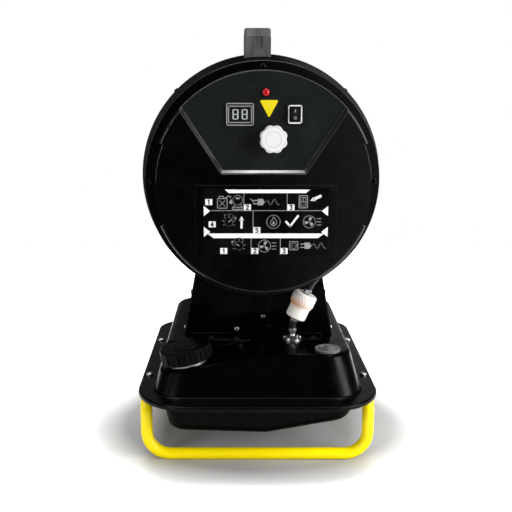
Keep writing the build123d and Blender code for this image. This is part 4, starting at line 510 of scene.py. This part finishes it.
class Print:
    """Thin printed marks on one face, drawn in millimetres from a centre."""

    def __init__(self, centre, out=(0, -1, 0), thick=0.05):
        self.bm = bmesh.new()
        self.centre, self.out, self.thick = Vector(centre), Vector(out), thick
        self.across = Vector((1, 0, 0))
        self.up = self.out.cross(self.across)

    def at(self, u, v, depth):
        """A point u across, v up and depth out from the face."""
        return self.centre + (self.across * u + self.up * v + self.out * depth) * MM

    def poly(self, points):
        """A filled outline."""
        front = [self.bm.verts.new(self.at(u, v, self.thick)) for u, v in points]
        back = [self.bm.verts.new(self.at(u, v, 0)) for u, v in points]
        self.bm.faces.new(front)
        self.bm.faces.new(list(reversed(back)))
        count = len(points)
        for i in range(count):
            j = (i + 1) % count
            self.bm.faces.new((front[i], back[i], back[j], front[j]))

    def line(self, a, b, width):
        du, dv = b[0] - a[0], b[1] - a[1]
        length = math.hypot(du, dv) or 1.0
        du, dv = du / length * width / 2, dv / length * width / 2
        self.poly([(a[0] - du - dv, a[1] - dv + du), (a[0] - du + dv, a[1] - dv - du),
                   (b[0] + du + dv, b[1] + dv - du), (b[0] + du - dv, b[1] + dv + du)])

    def stroke(self, points, width, close=False):
        """Lines from point to point."""
        ends = points[1:] + points[:1] if close else points[1:]
        for a, b in zip(points, ends):
            self.line(a, b, width)

    def arc(self, centre, radius, start, end, width, steps=14):
        turns = [math.radians(start + (end - start) * i / steps) for i in range(steps + 1)]
        u, v = centre
        self.stroke([(u + radius * math.cos(t), v + radius * math.sin(t)) for t in turns], width)

    def box(self, u, v, w, h):
        w, h = w / 2, h / 2
        self.poly([(u - w, v - h), (u + w, v - h), (u + w, v + h), (u - w, v + h)])

    def frame(self, u, v, w, h, width):
        w, h = w / 2, h / 2
        self.stroke([(u - w, v - h), (u + w, v - h), (u + w, v + h), (u - w, v + h)], width, close=True)

    def arrow(self, a, b, width, head):
        """A line from a to b with a filled head at b."""
        du, dv = b[0] - a[0], b[1] - a[1]
        length = math.hypot(du, dv)
        du, dv = du / length, dv / length
        neck = (b[0] - du * head, b[1] - dv * head)
        self.line(a, neck, width)
        half = head * 0.55
        self.poly([(neck[0] - dv * half, neck[1] + du * half), (neck[0] + dv * half, neck[1] - du * half), b])

    def digit(self, number, u, v, tall, width):
        """A plain figure, as strokes on a grid two wide and four high."""
        size = tall / 4
        shapes = {
            1: [(-0.6, 1.2), (0.2, 2), (0.2, -2)],
            2: [(-1, 1.4), (-0.6, 2), (0.6, 2), (1, 1.4), (1, 0.8), (-1, -2), (1.1, -2)],
            3: [(-1, 2), (1, 2), (-0.1, 0.4), (1, -0.4), (1, -1.4), (0.5, -2), (-1, -2)],
            4: [(0.6, -2), (0.6, 2), (-1.1, -0.8), (1.2, -0.8)],
            5: [(1, 2), (-0.9, 2), (-0.9, 0.3), (0.6, 0.3), (1, -0.2), (1, -1.4), (0.6, -2), (-1, -2)],
        }
        self.stroke([(u + a * size, v + b * size) for a, b in shapes[number]], width)

    def done(self, name, material, body="heater", slot=None):
        """Close the print into one piece."""
        bmesh.ops.recalc_face_normals(self.bm, faces=self.bm.faces)
        mesh = bpy.data.meshes.new(name)
        self.bm.to_mesh(mesh)
        self.bm.free()
        return piece(name, mesh, material, body=body, smooth=False)


def printed(name, colour, rough):
    """Printing ink."""
    return moulded(name, colour, rough=rough, grain=900.0, depth=PRINT_GRAIN)


ink = {
    "white": printed("ink_white", (0.80, 0.80, 0.79), 0.32),
    "grey": printed("ink_grey", (0.27, 0.275, 0.275), 0.35),
    "pale": printed("ink_pale", (0.46, 0.48, 0.47), 0.3),
    "black": printed("ink_black", (0.003, 0.003, 0.003), 0.35),
}


# Instruction plate: plain line art and step numbers. The drawings' sizes are in millimetres from
# their own middle.

def draw_can(p, u, v):
    """A fuel can with a drop under its spout."""
    p.frame(u, v - 1, 15, 15, 1.1)
    p.stroke([(u - 5, v + 7), (u - 5, v + 10), (u + 2, v + 10), (u + 2, v + 7)], 1.1)
    p.line((u - 4, v - 5), (u + 4, v + 3), 0.9)
    p.line((u - 4, v + 3), (u + 4, v - 5), 0.9)
    p.stroke([(u + 5, v + 7), (u + 9, v + 10.5), (u + 13, v + 9)], 1.5)
    drop = [(u + 13.5, v + 6)]
    for i in range(9):
        turn = math.radians(150 + 30 * i)
        drop.append((u + 13.5 + 2.6 * math.cos(turn), v + 0.5 + 2.6 * math.sin(turn)))
    p.poly(drop)


def draw_plug(p, u, v, side):
    """A two-pin plug with a waving cord that leaves to one side."""
    body = [(-5, -5), (3, -5), (6, 0), (3, 5), (-5, 5)]
    p.poly([(u + a * side, v + b) for a, b in body])
    for dv in (-2.6, 2.6):
        p.line((u - 5 * side, v + dv), (u - 11 * side, v + dv), 1.5)
    wave = [(u + (6 + i) * side, v + 4.2 * math.sin(i * 0.52) * min(1, i / 5)) for i in range(23)]
    p.stroke(wave, 1.3)


def draw_socket(p, u, v):
    """A square wall socket with a round well and two holes."""
    p.frame(u, v, 13, 13, 1.1)
    p.arc((u, v), 4.6, 0, 360, 1.0, steps=18)
    for du in (-1.9, 1.9):
        p.box(u + du, v, 1.3, 1.3)


def draw_rocker(p, u, v):
    """A rocker switch with a bar and a ring."""
    p.frame(u, v, 13, 19, 1.2)
    p.frame(u, v, 8, 13.5, 0.9)
    p.line((u - 4, v), (u + 4, v), 0.9)
    p.line((u, v + 2), (u, v + 5), 1.1)
    p.arc((u, v - 3.4), 1.5, 0, 360, 0.8, steps=12)


def draw_knob(p, u, v, turn):
    """A lobed knob with a scale and a turning arrow."""
    outline = []
    for i in range(48):
        angle = math.radians(i * 7.5)
        radius = 6.6 + 0.6 * math.cos(8 * angle)
        outline.append((u + radius * math.cos(angle), v + radius * math.sin(angle)))
    p.stroke(outline, 1.0, close=True)
    p.line((u, v), (u + 4.5 * turn, v + 3), 1.3)
    for i in range(7):
        angle = math.radians(-30 + 40 * i)
        c, s = math.cos(angle), math.sin(angle)
        p.line((u + 8.6 * c, v + 8.6 * s), (u + 10 * c, v + 10 * s), 0.8)
    p.arc((u, v), 12.2, 90 - 55 * turn, 90 + 30 * turn, 1.2)
    a = math.radians(90 - 55 * turn)
    tip = (u + 12.2 * math.cos(a), v + 12.2 * math.sin(a))
    p.arrow(tip, (tip[0] + 1.2 * turn, tip[1] - 3.6), 0.5, 3.6)


def draw_flame(p, u, v):
    """A flame in a ring."""
    p.arc((u, v), 10.5, 0, 360, 1.1, steps=28)
    outer = [(0, 8), (2.2, 4.5), (4.6, 2), (5, -2), (3, -5.6), (0, -6.6),
             (-3, -5.6), (-5, -2), (-4, 1.6), (-2, 3), (-1.6, 5.4)]
    p.stroke([(u + a, v + b) for a, b in outer], 1.1, close=True)
    inner = [(0, 1.5), (2, -1.6), (1.6, -4.4), (-1.6, -4.4), (-2, -2)]
    p.poly([(u + a, v + b) for a, b in inner])


def draw_heater(p, u, v):
    """A round heater on its stand, from behind."""
    p.arc((u, v + 3), 7.4, 0, 360, 1.2, steps=24)
    p.stroke([(u - 5, v - 3), (u - 6.5, v - 8), (u + 6.5, v - 8), (u + 5, v - 3)], 1.2)
    p.stroke([(u - 8, v - 8), (u - 8, v - 11.5), (u + 8, v - 11.5), (u + 8, v - 8)], 1.4)
    p.box(u, v + 6, 6, 2.4)


def draw_fan(p, u, v):
    """Three blades in a ring, with air marks to the right."""
    p.arc((u, v), 9.6, 0, 360, 1.0, steps=24)
    for i in range(3):
        blade = []
        for reach, turn in ((1.2, -20), (7.6, -8), (8, 22), (5, 44), (1.2, 40)):
            angle = math.radians(turn + 120 * i + 60)
            blade.append((u + reach * math.cos(angle), v + reach * math.sin(angle)))
        p.poly(blade)
    for dv in (-5, 0, 5):
        p.line((u + 12, v + dv), (u + 18, v + dv), 1.0)


def instruction_plate():
    """Three rows of drawings with white bars, dividing lines and step numbers."""
    centre = back_face("label_plate")
    white, grey = Print(centre), Print(centre)
    black = Print(centre, thick=0.1)
    white.poly([(-58, 45), (62, 45), (68, 50.5), (-64, 50.5)])
    white.poly([(-92, -18.5), (92, -18.5), (82, -26), (-82, -26)])
    for u, v, w in ((-34.5, 31.5, 27), (33, 31.5, 27), (-20, 0, 34), (-23, -39, 25), (23, -39, 25)):
        grey.line((u, v - w / 2), (u, v + w / 2), 0.9)
    grey.line((-86, 17.6), (86, 17.6), 0.9)
    for side in (-1, 1):
        white.poly([(side * 97, 25), (side * 97, 9), (side * 87, 17)])
        white.poly([(side * 97, -8), (side * 97, -24), (side * 87, -16)])
    steps = [(1, -89, 31), (2, -29, 22.7), (3, 39, 22.7), (4, -84, -4), (5, -14, -13.3)]
    steps += [(1, -66, -46.5), (2, -17, -46.5), (3, 29, -46.5)]
    box_wide, box_tall, digit_tall, digit_line = 11, 9.4, 6.4, 1.7
    for number, u, v in steps:
        white.box(u, v, box_wide, box_tall)
        black.digit(number, u, v, digit_tall, digit_line)
    draw_can(grey, -68, 30)
    draw_heater(grey, -44, 31)
    draw_plug(grey, -8, 31, 1)
    grey.line((-24, 36), (-19, 31), 1.2)
    draw_rocker(grey, 58, 31.5)
    white.arrow((84, 40), (69, 33), 4.2, 7)
    draw_knob(grey, -58, 0, 1)
    white.arrow((-38, -9), (-38, 9), 3.4, 7)
    draw_flame(grey, 12, 0)
    white.stroke([(32, 0), (38, -7), (50, 9)], 3.2)
    draw_fan(grey, 68, 0)
    draw_knob(grey, -42, -38, -1)
    draw_fan(grey, -2, -38.5)
    draw_socket(grey, 44, -38)
    draw_plug(grey, 66, -38, 1)
    white.done("plate_white_print", ink["white"], slot="white_plastic")
    grey.done("plate_line_art", ink["grey"], slot="gauge_white")
    black.done("plate_numbers", ink["black"], slot="black_plastic")


def display_digits():
    """Two blank seven-part figures behind the display's window, and the lines round it."""
    x, y, z = back_face("display_module")
    lines = Print((x, y, z))
    lines.frame(0, 0, 40.5, 32.5, 1.7)
    lines.frame(0, 0, 35, 24.5, 1.5)
    lines.done("display_lines", ink["grey"], slot="gauge_white")
    window, _ = hit("display_module", (x, y - 0.05, z + 0.009), (0, 1, 0))
    digits = Print((x, window.y, z))
    half_wide, half_bar, half_tall = 3.6, 2.6, 2.2
    for u in (-7, 7):
        for v in (-7, 0, 7):
            digits.line((u - half_bar, v), (u + half_bar, v), 1.4)
        for side in (u - half_wide, u + half_wide):
            for v in (-3.5, 3.5):
                digits.line((side, v - half_tall), (side, v + half_tall), 2.0)
    digits.done("display_digits", ink["pale"], slot="gauge_white")


def switch_marks():
    """A painted highlight line round the rocker's bezel, and I and O on the rocker itself."""
    x, y, z = back_face("switch_body")
    # Painted highlight: a white line for the bezel's bright rim
    line = Print((x, y, z))
    line.frame(0, 0, 19.5, 26, 2.0)
    line.done("switch_bezel_highlight", ink["white"], slot="white_plastic")
    for name, rise in (("mark_on", 0.0052), ("mark_off", -0.0052)):
        place, normal = hit("switch_rocker", (x, y - 0.05, z + rise), (0, 1, 0))
        mark = Print(place, out=normal)
        if rise > 0:
            mark.line((0, -1.6), (0, 1.6), 0.9)
        else:
            mark.arc((0, 0), 1.8, 0, 360, 0.8, steps=20)
        mark.done(name, ink["pale"], body="rocker", slot="white_plastic")


def gauge_scale():
    """A bar from empty to full with five ticks on the dial, and two pale rings on its rim as a painted
    reflection.
    """
    marks = Print(top_face("gauge_dial"), out=(0, 0, 1))
    marks.arc((0, 0), 13.2, 95, 265, 2.6, steps=24)
    for i in range(5):
        turn = math.radians(95 + 42.5 * i)
        c, s = math.cos(turn), math.sin(turn)
        marks.line((9.4 * c, 9.4 * s), (12.2 * c, 12.2 * s), 0.9)
    marks.arc((0, 0), 14.6, 0, 360, 0.7, steps=40)
    marks.done("gauge_marks", ink["black"], slot="black_plastic")
    # Painted reflection: two pale rings on the bezel's top
    rim_reflection = Print(top_face("gauge_bezel"), out=(0, 0, 1), thick=0.03)
    rim_reflection.arc((0, 0), 20.4, 0, 360, 1.2, steps=48)
    rim_reflection.arc((0, 0), 17.9, 0, 360, 0.7, steps=48)
    rim_reflection.done("gauge_rim_reflection", ink["pale"], slot="gauge_rim")


def filter_ribs():
    """Grip ribs round the filter's cap."""
    base, top = Vector(middle("filter_bowl")), Vector(middle("filter_cap"))
    axis = (top - base).normalized()
    side = axis.cross(Vector((0, 1, 0))).normalized()
    turning = Matrix((side, axis.cross(side), axis)).transposed()
    count, radius = 22, 20.7 * MM
    rise, width, length = 0.9 * MM, 1.5 * MM, 12 * MM

    def build(bm):
        for i in range(count):
            turn = 2 * math.pi * i / count
            made = bmesh.ops.create_cube(bm, size=1.0)["verts"]
            size = Matrix.Diagonal((rise, width, length, 1))
            spin = Matrix.Rotation(turn, 4, "Z") @ Matrix.Translation((radius, 0, 0))
            place = Matrix.Translation(top - axis * 0.0015) @ turning.to_4x4()
            bmesh.ops.transform(bm, matrix=place @ spin @ size, verts=made)
        bmesh.ops.bevel(bm, geom=bm.edges[:], offset=0.25 * MM, segments=2, affect="EDGES")

    return piece("filter_ribs", mesh_of(build), paint["clear_plastic"])


instruction_plate()
display_digits()
switch_marks()
gauge_scale()
filter_ribs()


# Floor, light and camera

def flat_floor():
    """A pale floor with a painted shadow near the heater, darker in colour and with less glow there, and
    plain white farther out.
    """
    mesh = bpy.data.meshes.new("floor")
    side, near, far = 4.0, 0.75, 1.7
    corner = [(-side, -near, 0), (side, -near, 0), (side, far, 0), (-side, far, 0)]
    mesh.from_pydata(corner, [], [(0, 1, 2, 3)])
    obj = bpy.data.objects.new("floor", mesh)
    scene.collection.objects.link(obj)
    s = Shader("floor")
    s.set(Roughness=0.9, Specular_IOR_Level=0.0, Emission_Color=(1.0, 1.0, 1.0, 1.0))
    oval = s.add("ShaderNodeMapping")
    oval.inputs["Scale"].default_value = (0.8, 1.0, 1.0)
    s.link(s.coords, oval.inputs["Vector"])
    length = s.add("ShaderNodeVectorMath", operation="LENGTH")
    s.link(oval.outputs["Vector"], length.inputs[0])
    away = length.outputs["Value"]
    # Painted shadow: the floor's colour darkens to 0.36 close to the heater
    base = s.ramp(away, [(0.2, (0.36, 0.36, 0.37)), (0.26, (0.8, 0.8, 0.8))])
    s.link(s.mix(s.spread(s.noise(3.0), 0.0, 0.3), base, (0.78, 0.78, 0.78)), s.bsdf.inputs["Base Color"])
    # Painted shadow: little glow close to the heater, more farther out
    steps = [(0.205, 0.0), (0.27, 0.26), (0.42, 0.3), (1.0, 0.6)]
    painted_shadow_glow = s.ramp(away, [(place, (level, level, level)) for place, level in steps])
    far_white = s.spread(away, 0.0, 0.38, 1.0, 2.0)
    s.link(s.maths("ADD", painted_shadow_glow, far_white), s.bsdf.inputs["Emission Strength"])
    mesh.materials.append(s.material)


def lamp(name, place, target, size, power, size_y=None):
    """An area lamp of some watts that faces a target."""
    data = bpy.data.lights.new(name, "AREA")
    data.energy = power
    data.shape = "RECTANGLE"
    data.size = size
    data.size_y = size_y or size
    obj = bpy.data.objects.new(name, data)
    scene.collection.objects.link(obj)
    obj.location = place
    obj.rotation_euler = (Vector(target) - Vector(place)).to_track_quat("-Z", "Y").to_euler()


def world_light():
    """A faint even light that the camera sees as white."""
    world = bpy.data.worlds.new("world")
    scene.world = world
    world.use_nodes = True
    tree = world.node_tree
    background = tree.nodes["Background"]
    background.inputs["Color"].default_value = (1, 1, 1, 1)
    path = tree.nodes.new("ShaderNodeLightPath")
    bright = tree.nodes.new("ShaderNodeMapRange")
    tree.links.new(path.outputs["Is Camera Ray"], bright.inputs["Value"])
    bright.inputs["To Min"].default_value = 0.04
    bright.inputs["To Max"].default_value = 1.0
    tree.links.new(bright.outputs["Result"], background.inputs["Strength"])


def camera():
    """The camera at the photo's place and angle."""
    data = bpy.data.cameras.new("camera")
    data.sensor_width = SENSOR_MM
    data.lens = FOCAL_PX / IMAGE_PX * SENSOR_MM
    data.shift_x = SHIFT_PX / IMAGE_PX
    obj = bpy.data.objects.new("camera", data)
    scene.collection.objects.link(obj)
    obj.location = CAMERA_PLACE
    obj.rotation_euler = (math.radians(90 - CAMERA_PITCH), 0, 0)
    scene.camera = obj


flat_floor()
# Name, place, target, width in metres and power in watts
lamp("overhead", (0, 0.5, 2.5), (0, 0.5, 0), 1.8, 92.0)
lamp("front_left", (-2.0, -2.1, 1.25), (0, 0, 0.3), 1.0, 28.0, size_y=0.8)
lamp("front_right", (2.0, -2.1, 1.25), (0, 0, 0.3), 1.0, 30.0, size_y=0.8)
lamp("backdrop_right", (0.8, 2.4, 0.95), (0, 0, 0.4), 1.0, 1.7, size_y=1.5)
lamp("backdrop_left", (-0.8, 2.4, 0.95), (0, 0, 0.4), 0.9, 0.6, size_y=1.5)
lamp("left_strip", (-1.5, -0.5, 0.8), (0, 0, 0.35), 0.2, 1.5, size_y=1.5)
lamp("right_strip", (1.5, -0.75, 0.8), (0, 0, 0.35), 0.7, 36.0, size_y=1.5)
world_light()
camera()
scene.view_settings.view_transform = "Standard"
